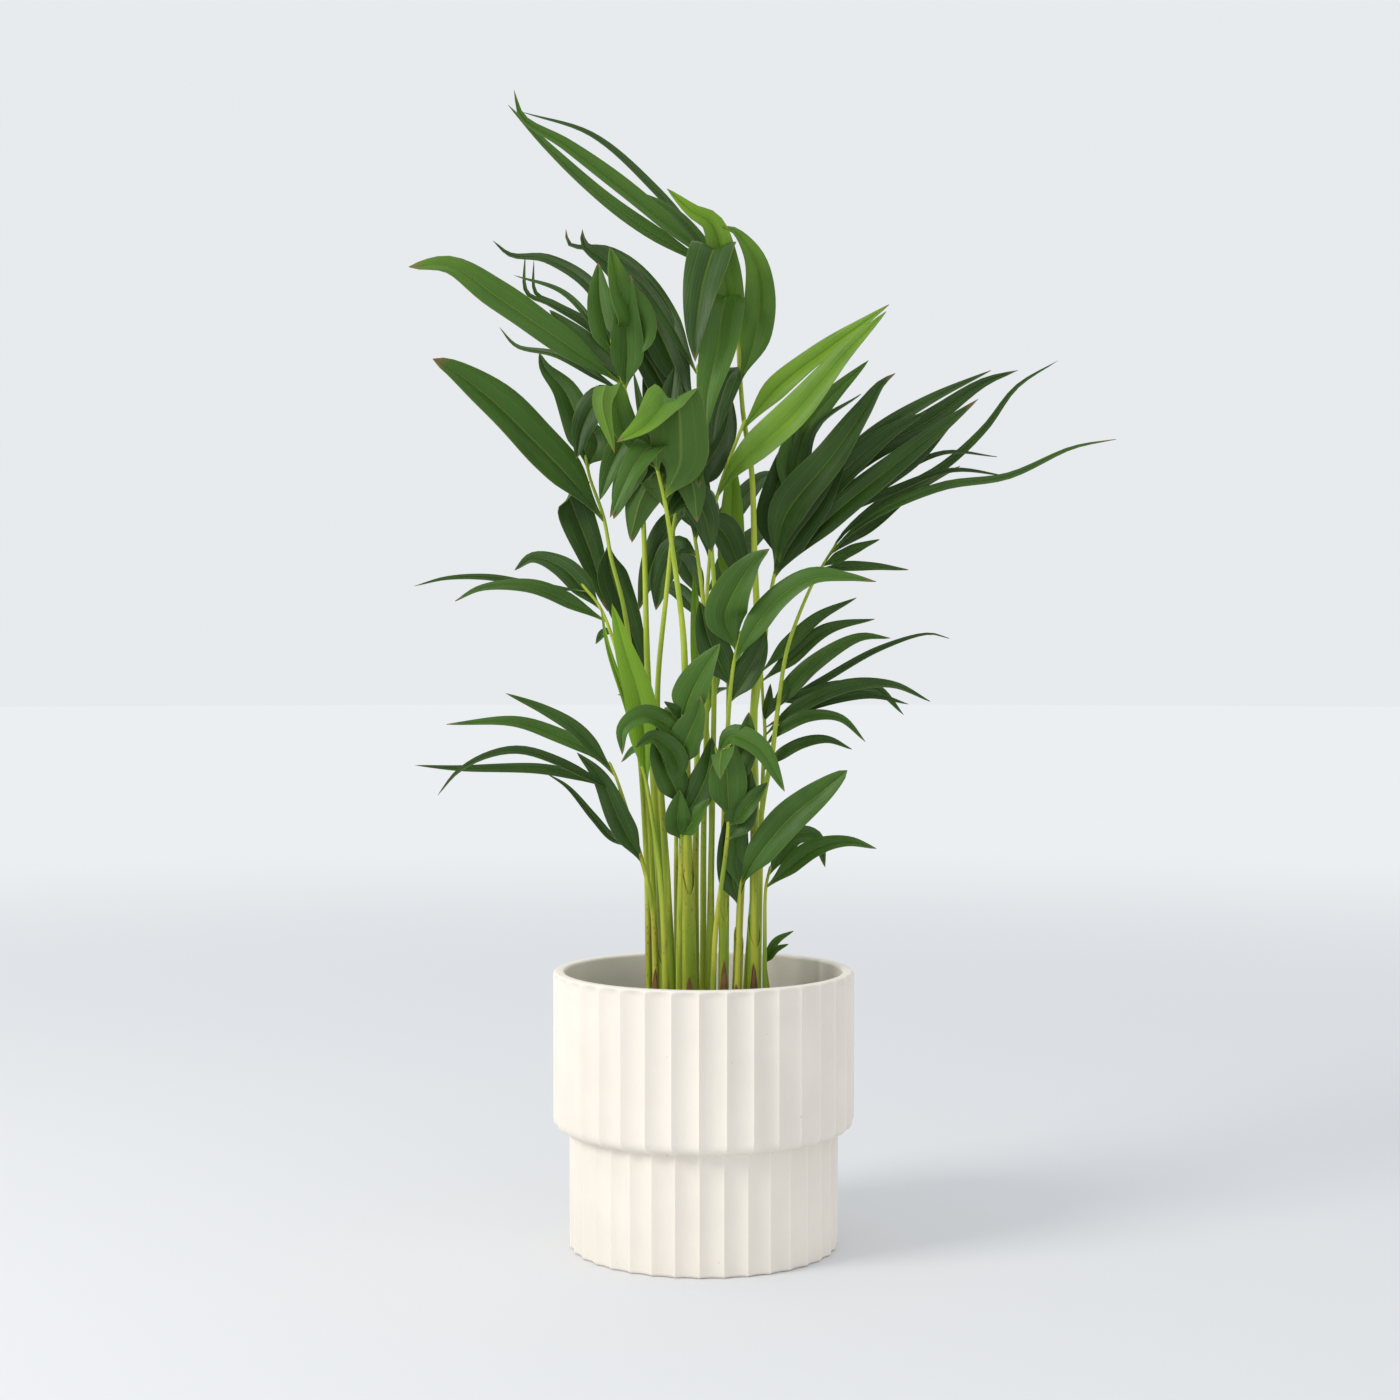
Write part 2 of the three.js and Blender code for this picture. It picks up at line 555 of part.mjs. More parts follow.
frond('low_centre_frond', DARK_LEAF, {
  path: [[-12, -17, 98], [-12, -19, 160], [-11, -23, 203], [-11, -26, 225], [-12, -28, 245], [-11, -30, 262],
    [-10, -31, 270]],
  radii: [1.8, 0.7],
  leaflets: [
    [250, 11, [-17, -34, 262], [-28.5, -40, 267], [-38.5, -44, 260.5], [-39, -46, 247.5]],
    [232, 11, [-14, -34, 247], [-24, -40, 256], [-33, -44, 251]],
    [240, 16, [-9, -34, 254], [-3, -38, 268], [-1.5, -40, 276]],
    [205, 13, [-12.5, -30, 216], [-11.5, -34, 230]],
    [207, 11, [-5, -31, 216], [3, -34, 226]],
    [262, 17, [-7, -35, 276], [1, -39, 291], [8, -41, 301]],
    [264, 6, [-14, -34, 269], [-19, -36, 273]],
  ],
});

frond('low_front_frond', DARK_LEAF, {
  path: [[4, -16, 98], [6, -20, 160], [11, -26, 200], [12, -29, 216], [9, -31, 235], [6, -32, 250]],
  radii: [1.7, 0.7],
  leaflets: [
    [216, 18, [12, -36, 229], [11, -40, 244], [9.5, -44, 249], [8, -49, 243], [8, -51, 236]],
    [247, 11, [13, -37, 257], [27, -43, 251], [39, -47, 230]],
    [212, 11, [20, -34, 222], [31, -38, 234]],
  ],
});

frond('young_pair', FRESH_LEAF, {
  path: [[4, 15, 98], [4, 15, 200], [2, 15, 258], [1, 15, 266]],
  radii: [1.6, 0.8],
  leaflets: [
    [258, 8, [-2, 16, 290], [-4, 17, 318], [-5, 18, 338]],
    [262, 7, [6, 17, 292], [7, 19, 318], [6, 20, 334]],
  ],
});

frond('upright_spear', FRESH_LEAF, {
  path: [[11, 22, 98], [12, 21, 200], [13, 19, 318], [13, 19, 328]],
  radii: [1.7, 1],
  leaflets: [[322, 13, [14, 18, 350], [14.5, 17, 378], [14, 16, 400]]],
});

frond('back_frond', DARK_LEAF, {
  path: [[-4, 22, 98], [-4, 30, 200], [-2, 42, 280], [2, 52, 330], [4, 60, 360], [4, 64, 372]],
  radii: [2.2, 0.8],
  leaflets: [
    [322, 12, [-10, 70, 345], [-20, 92, 356], [-26, 108, 352]],
    [328, 12, [18, 72, 350], [34, 92, 364], [42, 108, 362]],
    [345, 13, [2, 78, 372], [0, 100, 384], [-2, 118, 378]],
    [355, 12, [-14, 72, 380], [-28, 86, 398], [-36, 98, 402]],
    [355, 12, [20, 74, 378], [34, 88, 392], [44, 98, 392]],
    [312, 9, [-14, 60, 330], [-26, 74, 332], [-34, 84, 326]],
  ],
});

frond('back_low_frond', DARK_LEAF, {
  path: [[-13, 20, 98], [-14, 30, 180], [-14, 42, 230], [-14, 50, 250], [-14, 54, 258]],
  radii: [1.8, 0.7],
  leaflets: [
    [232, 8, [-24, 58, 244], [-36, 72, 246], [-44, 82, 238]],
    [238, 8, [-6, 62, 250], [0, 78, 254], [4, 92, 246]],
    [246, 9, [-16, 66, 262], [-18, 82, 268], [-20, 96, 262]],
    [248, 7, [-24, 62, 264], [-36, 74, 274], [-46, 84, 274]],
    [248, 7, [-4, 60, 264], [6, 72, 276], [14, 82, 278]],
  ],
});

frond('plantlet', DARK_LEAF, {
  path: [[35, 14, 98], [33, 15, 125], [31, 16, 142], [31, 16, 146]],
  radii: [1.1, 0.6],
  leaflets: [
    [140, 4, [37, 18, 150], [46, 20, 155]],
    [139, 4, [36, 12, 146], [43, 10, 149.5]],
  ],
});

drySheath('dry_sheath_1', -24, -5, 2.4, 30);
drySheath('dry_sheath_2', -7, -8.6, 4.3, 26);
drySheath('dry_sheath_3', 10, -7, 3.1, 34);
drySheath('dry_sheath_4', 25, -4, 3.2, 32);
drySheath('dry_sheath_5', 16.2, -15.2, 2.7, 24);

addPiece('cover_pot', coverPot(), CREAM_CERAMIC);
addPiece('nursery_pot', nurseryPot(), BLACK_PLASTIC);
addPiece('soil', soil(feet), POTTING_SOIL);

export default palm;
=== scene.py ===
"""Potted areca palm: looks and stage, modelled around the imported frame."""

import math
import random

import bmesh
import bpy
from mathutils import Euler, Matrix, Vector, noise


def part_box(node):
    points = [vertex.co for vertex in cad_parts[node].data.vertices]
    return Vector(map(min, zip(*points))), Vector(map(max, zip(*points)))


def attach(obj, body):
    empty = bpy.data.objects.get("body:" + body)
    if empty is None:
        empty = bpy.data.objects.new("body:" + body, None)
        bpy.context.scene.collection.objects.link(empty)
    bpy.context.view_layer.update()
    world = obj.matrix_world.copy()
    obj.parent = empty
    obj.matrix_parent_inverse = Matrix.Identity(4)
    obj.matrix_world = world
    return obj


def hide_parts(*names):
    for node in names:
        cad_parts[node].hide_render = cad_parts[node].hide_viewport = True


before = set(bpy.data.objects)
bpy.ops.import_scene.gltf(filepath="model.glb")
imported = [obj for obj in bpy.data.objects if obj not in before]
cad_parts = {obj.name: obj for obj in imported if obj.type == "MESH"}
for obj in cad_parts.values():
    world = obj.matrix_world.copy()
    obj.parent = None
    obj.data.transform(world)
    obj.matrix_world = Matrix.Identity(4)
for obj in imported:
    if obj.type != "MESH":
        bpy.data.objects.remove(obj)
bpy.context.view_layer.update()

bl_info = {
    "name": "Potted Areca Palm",
    "version": (1, 0, 0),
    "blender": (4, 5, 0),
    "location": "View3D > Sidebar > Palm",
    "description": "Adds a young areca palm in its fluted cover pot, and a plain studio stage",
    "category": "Add Mesh",
}

MM = 0.001
POINTED = 0.7  # exponent that puts a leaflet's widest place nearer its root
BLUNT = 1.05  # the same for leaflets that are widest past their middle
LEAF_FACE = Vector((0, -0.87, 0.5))  # the way most upper sides look
LEAF_ROWS = 26
LEAF_START = 0.03  # share of the outline that lies before the root, which has some width
STEM_WIDTH = 0.22  # the root's width over the outline's
STEM_END = 0.3  # share of the length where a blade has its full width
BLADE_SPREAD = 1.04  # a blade's width over the one in the list
VEIN_SCALE = 100  # UV units a metre
FOOT_FLARE = 0.22  # how much wider a stalk's foot is
FLARE_TOP = 135  # millimetres above the table
FLARE_BOTTOM = 100
SLEEVE_FOOT = 101.0  # where a leaf sheath starts, in millimetres
SLEEVE_ROWS = 12
LEAF_COLUMNS = (-1, -0.72, -0.4, -0.09, 0, 0.09, 0.4, 0.72, 1)  # across, from edge to edge


def linear(red, green, blue):
    """A colour given as 0 to 255 display values, as linear light."""

    def channel(value):
        value /= 255
        return value / 12.92 if value <= 0.04045 else ((value + 0.055) / 1.055) ** 2.4

    return tuple(channel(value) for value in (red, green, blue))


# ---- sizes and colours a user would change ----


def colour(name, description, default):
    return bpy.props.FloatVectorProperty(
        name=name, description=description, default=default, subtype="COLOR", size=3, min=0, max=1
    )


def length(name, description, default):
    return bpy.props.FloatProperty(
        name=name, description=description, default=default, unit="LENGTH", subtype="DISTANCE", min=0
    )


class PotSettings(bpy.types.PropertyGroup):
    """Sizes and colours of the cover pot, the nursery pot and the soil."""

    height: length("Height", "Height of the cover pot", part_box("cover_pot")[1][2])
    upper_radius: length("Upper radius", "Radius of the upper tier, to the ridges", 0.0755)
    lower_radius: length("Lower radius", "Radius of the lower tier, to the ridges", 0.0674)
    step_height: length("Step height", "Height of the upper tier's lower edge", 0.0595)
    wall: length("Wall", "Thickness of the ceramic wall", 0.0061)
    flutes: bpy.props.IntProperty(
        name="Flutes", description="Concave flutes round each tier", default=36, min=12
    )
    flute_depth: length("Flute depth", "Depth of the upper tier's flutes", 0.0021)
    glaze: colour("Glaze", "Matte cream of the ceramic", linear(240, 233, 222))
    plastic: colour("Nursery pot", "Black plastic of the inner pot", linear(38, 39, 40))
    soil: colour("Soil", "Damp potting mix", linear(52, 38, 27))


class PalmSettings(bpy.types.PropertyGroup):
    """Leaf and stalk finish."""

    # Leaf greens from darkest to palest: partly the leaflets' own colours, partly painted shade (the
    # darkest, for leaflets inside the crown) and painted highlight (the palest, for lit folded tips).
    dark_leaf_and_painted_shade: colour("Dark leaf and painted shade", "Darkest leaflets", linear(38, 66, 18))
    grown_leaf: colour("Grown leaf", "Ordinary leaflets", linear(66, 104, 28))
    young_leaf: colour("Young leaf", "Fresh leaflets and folded tips", linear(112, 152, 28))
    underside: colour("Underside", "Paler lower side of the leaflets", linear(78, 108, 48))
    stalk: colour("Stalk", "Green of the stalks", linear(130, 156, 44))
    stalk_streak: colour("Stalk streaks", "Yellow streaks on the stalks", linear(184, 188, 66))
    sheath: colour("Dry sheath", "Papery brown scales at the foot", linear(132, 92, 58))
    blade_thickness: length("Blade thickness", "Thickness of a leaflet", 0.00045)


class StageSettings(bpy.types.PropertyGroup):
    """Floor, lights and camera."""

    floor: colour("Floor", "Colour of the floor", linear(222, 223, 225))
    backdrop: colour("Backdrop", "Colour of the surroundings", linear(236, 239, 242))
    distance: length("Camera distance", "Distance from the pot's middle to the camera", 1.16)
    camera_height: length("Camera height", "Height of the camera above the floor", 0.297)
    tilt: bpy.props.FloatProperty(
        name="Tilt",
        description="How far the camera looks down",
        default=math.radians(1.185),
        unit="ROTATION",
        subtype="ANGLE",
    )


# ---- shader expressions ----


class Value:
    """A node's output that can be used in Python expressions; each operator adds its node."""

    def __init__(self, surface, socket):
        self.surface = surface
        self.socket = socket

    def _math(self, operation, first, second):
        return self.surface.node("ShaderNodeMath", {"operation": operation}, {0: first, 1: second})

    def __add__(self, other):
        return self._math("ADD", self, other)

    def __radd__(self, other):
        return self._math("ADD", other, self)

    def __sub__(self, other):
        return self._math("SUBTRACT", self, other)

    def __rsub__(self, other):
        return self._math("SUBTRACT", other, self)

    def __mul__(self, other):
        return self._math("MULTIPLY", self, other)

    def __rmul__(self, other):
        return self._math("MULTIPLY", other, self)

    def __truediv__(self, other):
        return self._math("DIVIDE", self, other)

    def __pow__(self, other):
        return self._math("POWER", self, other)

    def larger(self, other):
        return self._math("MAXIMUM", self, other)


class Surface:
    """A material with its node tree, built from expressions."""

    def __init__(self, name):
        self.material = bpy.data.materials.new(name)
        self.material.use_nodes = True
        self.tree = self.material.node_tree
        self.tree.nodes.clear()

    def node(self, kind, settings=None, sockets=None, output=0):
        made = self.tree.nodes.new(kind)
        for name, value in (settings or {}).items():
            if name == "stops":
                self._set_stops(made.color_ramp, value)
            else:
                setattr(made, name, value)
        for name, value in (sockets or {}).items():
            if isinstance(value, Value):
                self.tree.links.new(value.socket, made.inputs[name])
            else:
                made.inputs[name].default_value = value
        return Value(self, made.outputs[output]) if made.outputs else None

    @staticmethod
    def _set_stops(ramp, stops):
        while len(ramp.elements) > 1:
            ramp.elements.remove(ramp.elements[-1])
        ramp.elements[0].position = stops[0][0]
        ramp.elements[0].color = (*stops[0][1], 1)
        for position, tint in stops[1:]:
            ramp.elements.new(position).color = (*tint, 1)

    def place(self, scale=(1, 1, 1)):
        """The object's own coordinates, stretched by scale."""
        own = self.node("ShaderNodeTexCoord", output="Object")
        return self.node("ShaderNodeMapping", {}, {"Vector": own, "Scale": scale})

    def pattern(self, vector, scale, detail=4.0, roughness=0.55):
        """Soft noise from 0 to 1."""
        sockets = {"Vector": vector, "Scale": scale, "Detail": detail, "Roughness": roughness}
        return self.node("ShaderNodeTexNoise", {}, sockets)

    def spots(self, vector, scale, randomness=1.0):
        """Distance to the nearest of many scattered points."""
        sockets = {"Vector": vector, "Scale": scale, "Randomness": randomness}
        return self.node("ShaderNodeTexVoronoi", {}, sockets, output="Distance")

    def attribute(self, name):
        return self.node("ShaderNodeAttribute", {"attribute_name": name}, output="Fac")

    def along_and_across(self, layer):
        """The two numbers of a UV map: across the blade and along it."""
        pair = self.node("ShaderNodeUVMap", {"uv_map": layer})
        return (
            self.node("ShaderNodeSeparateXYZ", {}, {0: pair}, output=0),
            self.node("ShaderNodeSeparateXYZ", {}, {0: pair}, output=1),
        )

    def band(self, value, low, high, start=0.0, end=1.0):
        """A smooth step of value from low to high."""
        sockets = {0: value, 1: low, 2: high, 3: start, 4: end}
        return self.node("ShaderNodeMapRange", {"interpolation_type": "SMOOTHSTEP"}, sockets)

    def mix(self, share, first, second, blend="MIX"):
        """Mixes two colours."""

        def whole(tint):
            return tint if isinstance(tint, Value) else (*tint, 1)

        settings = {"data_type": "RGBA", "blend_type": blend}
        return self.node("ShaderNodeMix", settings, {0: share, 6: whole(first), 7: whole(second)}, output=2)

    def bump(self, height, strength, distance):
        sockets = {"Height": height, "Strength": strength, "Distance": distance}
        return self.node("ShaderNodeBump", {}, sockets)

    def finish(self, **settings):
        """Ends the tree in a Principled shader; words with _ stand for sockets' names."""
        sockets = {}
        for name, value in settings.items():
            label = name.replace("_", " ").title().replace("Ior", "IOR")
            is_colour = label in ("Base Color", "Sheen Tint", "Emission Color")
            sockets[label] = (*value, 1) if is_colour and not isinstance(value, Value) else value
        shader = self.node("ShaderNodeBsdfPrincipled", {}, sockets)
        self.node("ShaderNodeOutputMaterial", {}, {"Surface": shader})
        return self.material


# ---- finishes ----


def shade(tint, factor):
    return tuple(min(1, channel * factor) for channel in tint)


def ceramic_finish(settings):
    """Matte cream ceramic: cloudy tone, fine tooth, a painted highlight along the flute ridges, which are
    also less rough, and a few mineral specks.
    """
    s = Surface("ceramic_cream")
    place = s.place()
    cloud = s.pattern(place, 22, 3)
    tooth = s.pattern(place, 950, 3, 0.7)
    speck = s.band(s.spots(place, 170), 0.03, 0.1, 1, 0) * s.band(s.pattern(place, 60), 0.52, 0.66)
    ridge = s.attribute("ridge")
    glaze = tuple(settings.glaze)
    tone = s.mix(s.band(cloud, 0.3, 0.7), shade(glaze, 0.93), glaze)
    # Painted highlight: the glaze is lighter along the flute ridges.
    tone = s.mix(ridge * 0.5, tone, shade(glaze, 1.05))
    tone = s.mix(speck * 0.35, tone, linear(150, 120, 84))
    roughness = 0.62 + tooth * 0.16 - ridge * 0.1
    height = tooth * 0.6 + cloud * 0.5 - speck * 0.4
    bump = s.bump(height, 0.16, 0.0006)
    return s.finish(base_color=tone, roughness=roughness, normal=bump, specular_ior_level=0.35)


def plastic_finish(settings):
    """Black thermoformed plastic with a dusty bloom."""
    s = Surface("nursery_black_plastic")
    place = s.place()
    grain = s.pattern(place, 700, 2)
    dust = s.band(s.pattern(place, 45, 5, 0.65), 0.48, 0.75)
    tone = s.mix(dust * 0.3, tuple(settings.plastic), linear(92, 84, 76))
    bump = s.bump(grain, 0.12, 0.0004)
    return s.finish(base_color=tone, roughness=0.42 + dust * 0.25 + grain * 0.1, normal=bump)


def soil_finish(settings):
    """Damp peat: dark crumbs with paler fibres."""
    s = Surface("peat_soil")
    place = s.place()
    crumbs = s.spots(place, 420)
    coarse = s.pattern(place, 130, 8, 0.7)
    soil = tuple(settings.soil)
    tone = s.mix(s.band(coarse, 0.35, 0.7), shade(soil, 0.45), shade(soil, 1.5))
    tone = s.mix(s.band(crumbs, 0.0, 0.5, 0.35, 0), tone, linear(112, 84, 58))
    height = coarse * 0.8 + crumbs * 0.6
    return s.finish(base_color=tone, roughness=0.88 + coarse * 0.1, normal=s.bump(height, 0.7, 0.0018))


def bark_finish():
    """Bark chips in the potting mix."""
    s = Surface("bark_chips")
    place = s.place()
    fibre = s.pattern(s.place((1, 1, 5)), 260, 5, 0.7)
    cloud = s.pattern(place, 90, 3)
    tone = s.mix(s.band(cloud, 0.35, 0.65), linear(58, 38, 25), linear(118, 82, 54))
    tone = s.mix(fibre * 0.4, tone, linear(42, 27, 19))
    return s.finish(base_color=tone, roughness=0.85, normal=s.bump(fibre, 0.5, 0.0008))


def perlite_finish():
    """White perlite grains in the potting mix."""
    s = Surface("perlite_grains")
    grain = s.pattern(s.place(), 800, 4, 0.7)
    tone = s.mix(s.band(grain, 0.3, 0.7), linear(190, 184, 172), linear(236, 232, 224))
    return s.finish(base_color=tone, roughness=0.9, normal=s.bump(grain, 0.5, 0.0006))


def blade_finish(name, palm, under):
    """A leaflet's surface: parallel veins, midrib, dry tip, and its tone, partly its own green and partly
    painted shade and painted highlight.
    """
    s = Surface(name)
    across, along = s.along_and_across("Blade")
    aside, ahead = s.along_and_across("Veins")
    chance = s.attribute("chance")
    tone_here = s.attribute("tone")
    middle = s.node("ShaderNodeMath", {"operation": "ABSOLUTE"}, {0: across - 0.5})
    streak_place = s.node("ShaderNodeCombineXYZ", {}, {0: aside * 9, 1: ahead * 0.3, 2: chance * 30})
    streak = s.pattern(streak_place, 1.0, 3, 0.6)
    vein_wave = s.node("ShaderNodeMath", {"operation": "SINE"}, {0: aside * 46})
    vein = s.band(vein_wave, 0.55, 1.0)
    patch_place = s.node("ShaderNodeCombineXYZ", {}, {0: aside * 0.8, 1: ahead * 0.45, 2: chance * 50})
    patch = s.pattern(patch_place, 1.0, 3)
    rib = s.band(middle, 0.012, 0.04, 1, 0)
    side_rib = s.band(
        s.node("ShaderNodeMath", {"operation": "ABSOLUTE"}, {0: middle - 0.27}), 0.006, 0.02, 1, 0
    )
    # Low tones paint shade on leaflets inside the crown; high tones partly paint highlights on lit folds.
    tone = tone_here + (chance - 0.5) * 0.14 + (patch - 0.5) * 0.3 + (streak - 0.5) * 0.2
    dark_and_painted_shade, grown, young = (tuple(c) for c in (palm.dark_leaf_and_painted_shade, palm.grown_leaf, palm.young_leaf))
    tint = s.mix(s.band(tone, 0.0, 0.5), dark_and_painted_shade, grown)
    tint = s.mix(s.band(tone, 0.45, 1.0), tint, young)
    if under:
        tint = s.mix(0.6, tint, tuple(palm.underside))
    tint = s.mix(vein * 0.16, tint, shade(grown, 1.5))
    tint = s.mix(rib * 0.42 + side_rib * 0.1, tint, linear(124, 146, 62))
    tint = s.mix(s.band(along, 0.0, 0.1, 0.65, 0), tint, tuple(palm.stalk))
    dry = s.band(along + (patch - 0.5) * 0.1 + (chance - 0.5) * 0.06, 0.95, 1.0)
    tint = s.mix(dry * 0.75, tint, linear(128, 104, 66))
    edge = s.band(middle, 0.47, 0.5)
    tint = s.mix(edge * 0.35, tint, linear(128, 132, 70))
    height = streak * 0.5 + vein * 0.35 - rib * 0.8 + side_rib * 0.4
    if under:
        height = streak * 0.5 + vein * 0.6 + rib * 1.2 + side_rib * 0.4
    bump = s.bump(height, 0.35, 0.0004)
    roughness = (0.52 if under else 0.38) + streak * 0.14 + dry * 0.3
    return s.finish(
        base_color=tint, roughness=roughness, normal=bump, specular_ior_level=0.2 if under else 0.3
    )


def stalk_finish(palm):
    """Stalks: green with lengthwise yellow streaks, brown freckles low down and a brown foot."""
    s = Surface("stalk_green_yellow")
    fibre = s.pattern(s.place((1, 1, 0.05)), 900, 4, 0.6)
    streak = s.pattern(s.place((1, 1, 0.04)), 260, 3, 0.55)
    patch = s.pattern(s.place((1, 1, 0.5)), 55, 3)
    freckle = s.spots(s.place((1, 1, 0.45)), 520)
    up = s.node("ShaderNodeSeparateXYZ", {}, {0: s.place()}, output=2)
    tone = s.attribute("tone")
    green, yellow = tuple(palm.stalk), tuple(palm.stalk_streak)
    tint = s.mix(s.band(streak, 0.42, 0.62), green, yellow)
    tint = s.mix(s.band(up, 0.15, 0.3) * 0.6, tint, linear(172, 194, 66))
    tint = s.mix(s.band(up, 0.36, 0.48) * 0.3, tint, linear(124, 150, 60))
    tint = s.mix((fibre - 0.4).larger(0.0) * 0.45, tint, shade(green, 0.62))
    tint = s.mix(tone * 0.5, tint, linear(150, 178, 62))
    low = s.band(up, 0.2, 0.27, 1, 0)
    blush = s.band(patch, 0.5, 0.68) * low
    tint = s.mix(blush * 0.32, tint, linear(140, 104, 50))
    freckles = s.band(freckle, 0.12, 0.26, 1, 0) * s.band(patch, 0.42, 0.6) * low
    tint = s.mix(freckles * 0.55, tint, linear(98, 62, 38))
    foot = s.band(up + (patch - 0.5) * 0.03, 0.112, 0.128, 1, 0)
    tint = s.mix(foot * 0.75, tint, linear(112, 84, 52))
    height = fibre * 0.6 + streak * 0.5 + freckles * 0.3
    roughness = 0.4 + fibre * 0.15 + foot * 0.3
    bump = s.bump(height, 0.3, 0.0004)
    return s.finish(base_color=tint, roughness=roughness, normal=bump, specular_ior_level=0.25)


def sheath_finish(palm):
    """Dry papery scale with lengthwise fibres."""
    s = Surface("dry_sheath_paper")
    fibre = s.pattern(s.place((1, 1, 0.06)), 1100, 5, 0.7)
    cloud = s.pattern(s.place((1, 1, 0.6)), 110, 4)
    up = s.node("ShaderNodeSeparateXYZ", {}, {0: s.place()}, output=2)
    brown = tuple(palm.sheath)
    tint = s.mix(s.band(cloud, 0.35, 0.65), shade(brown, 0.5), shade(brown, 1.15))
    tint = s.mix(s.band(fibre, 0.45, 0.65) * 0.5, tint, linear(176, 140, 96))
    tint = s.mix(s.band(up, 0.106, 0.122, 0.6, 0), tint, linear(58, 38, 26))
    return s.finish(base_color=tint, roughness=0.75 + fibre * 0.2, normal=s.bump(fibre, 0.6, 0.0006))


def floor_finish(stage):
    """Plain pale floor that melts into the surroundings further out."""
    s = Surface("floor_plain")
    place = s.place()
    grain = s.pattern(place, 120, 3)
    tint = s.mix(grain * 0.2, tuple(stage.floor), shade(tuple(stage.floor), 0.99))
    reach = s.node("ShaderNodeVectorMath", {"operation": "LENGTH"}, {0: place}, output="Value")
    far = s.band(reach, 0.55, 2.4)
    glow = s.mix(far, (0, 0, 0), tuple(stage.backdrop))
    tint = s.mix(far, tint, (0, 0, 0))
    return s.finish(
        base_color=tint, roughness=0.9, specular_ior_level=0.0, emission_color=glow, emission_strength=1.0
    )


# ---- modelling helpers ----


def smooth_step(low, high, value):
    """0 before low, 1 past high, and a soft rise between them; low may be the larger."""
    share = min(max((value - low) / (high - low), 0.0), 1.0)
    return share * share * (3 - 2 * share)


class Track:
    """A smooth line through points: a centripetal Catmull-Rom curve, measured by its length."""

    STEPS = 160

    def __init__(self, points):
        self.points = [Vector(point) for point in points]
        samples = [self.at_parameter(step / self.STEPS) for step in range(self.STEPS + 1)]
        self.lengths = [0.0]
        for before, after in zip(samples, samples[1:]):
            self.lengths.append(self.lengths[-1] + (after - before).length)

    @property
    def length(self):
        return self.lengths[-1]

    def at_parameter(self, parameter):
        spans = len(self.points) - 1
        place = min(max(parameter, 0.0), 1.0) * spans
        span = min(int(place), spans - 1)
        weight = place - span
        p1, p2 = self.points[span], self.points[span + 1]
        p0 = self.points[span - 1] if span > 0 else 2 * p1 - p2
        p3 = self.points[span + 2] if span + 2 <= spans else 2 * p2 - p1
        d0, d1, d2 = ((b - a).length_squared ** 0.25 for a, b in ((p0, p1), (p1, p2), (p2, p3)))
        start = ((p1 - p0) / d0 - (p2 - p0) / (d0 + d1) + (p2 - p1) / d1) * d1
        end = ((p2 - p1) / d1 - (p3 - p1) / (d1 + d2) + (p3 - p2) / d2) * d1
        bend = 2 * (p1 - p2) + start + end
        lift = 3 * (p2 - p1) - 2 * start - end
        return p1 + weight * (start + weight * (lift + weight * bend))

    def parameter(self, share):
        target = share * self.length
        for step in range(self.STEPS):
            if self.lengths[step + 1] >= target:
                span = self.lengths[step + 1] - self.lengths[step]
                return (step + (target - self.lengths[step]) / max(span, 1e-9)) / self.STEPS
        return 1.0

    def at(self, share):
        return self.at_parameter(self.parameter(share))

    def forward(self, share):
        here = self.parameter(share)
        ahead, behind = min(here + 1e-3, 1.0), max(here - 1e-3, 0.0)
        return (self.at_parameter(ahead) - self.at_parameter(behind)).normalized()

    def at_height(self, height):
        low, high = 0.0, 1.0
        for _ in range(24):
            middle = (low + high) / 2
            if self.at_parameter(middle).z < height:
                low = middle
            else:
                high = middle
        return self.at_parameter(low)


def deselect_all():
    if bpy.context.object is not None and bpy.context.object.mode != "OBJECT":
        bpy.ops.object.mode_set(mode="OBJECT")
    bpy.ops.object.select_all(action="DESELECT")


def choose(*objects):
    """Selects just these objects; the first is the active one."""
    deselect_all()
    for item in objects:
        item.select_set(True)
    bpy.context.view_layer.objects.active = objects[0]


def join(name, objects):
    choose(*objects)
    if len(objects) > 1:
        bpy.ops.object.join()
    piece = bpy.context.object
    piece.name = name
    piece.data.name = name
    return piece


def apply_modifier(piece, kind, **settings):
    choose(piece)
    modifier = piece.modifiers.new(kind.title(), kind)
    for name, value in settings.items():
        setattr(modifier, name, value)
    bpy.ops.object.modifier_apply(modifier=modifier.name)


def shade_by_angle(piece, degrees):
    choose(piece)
    bpy.ops.object.shade_smooth_by_angle(angle=math.radians(degrees))


def settle(piece):
    """Puts the object at the origin, with its place in its mesh."""
    choose(piece)
    bpy.ops.object.transform_apply(location=True, rotation=True, scale=True)


def mark(mesh, name, values):
    """Stores one number for each vertex."""
    layer = mesh.attributes.get(name) or mesh.attributes.new(name, "FLOAT", "POINT")
    layer.data.foreach_set("value", values)


def hand_over(piece, node):
    """The piece stands for a CAD node and rides with it."""
    settle(piece)
    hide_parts(node)
    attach(piece, "root")


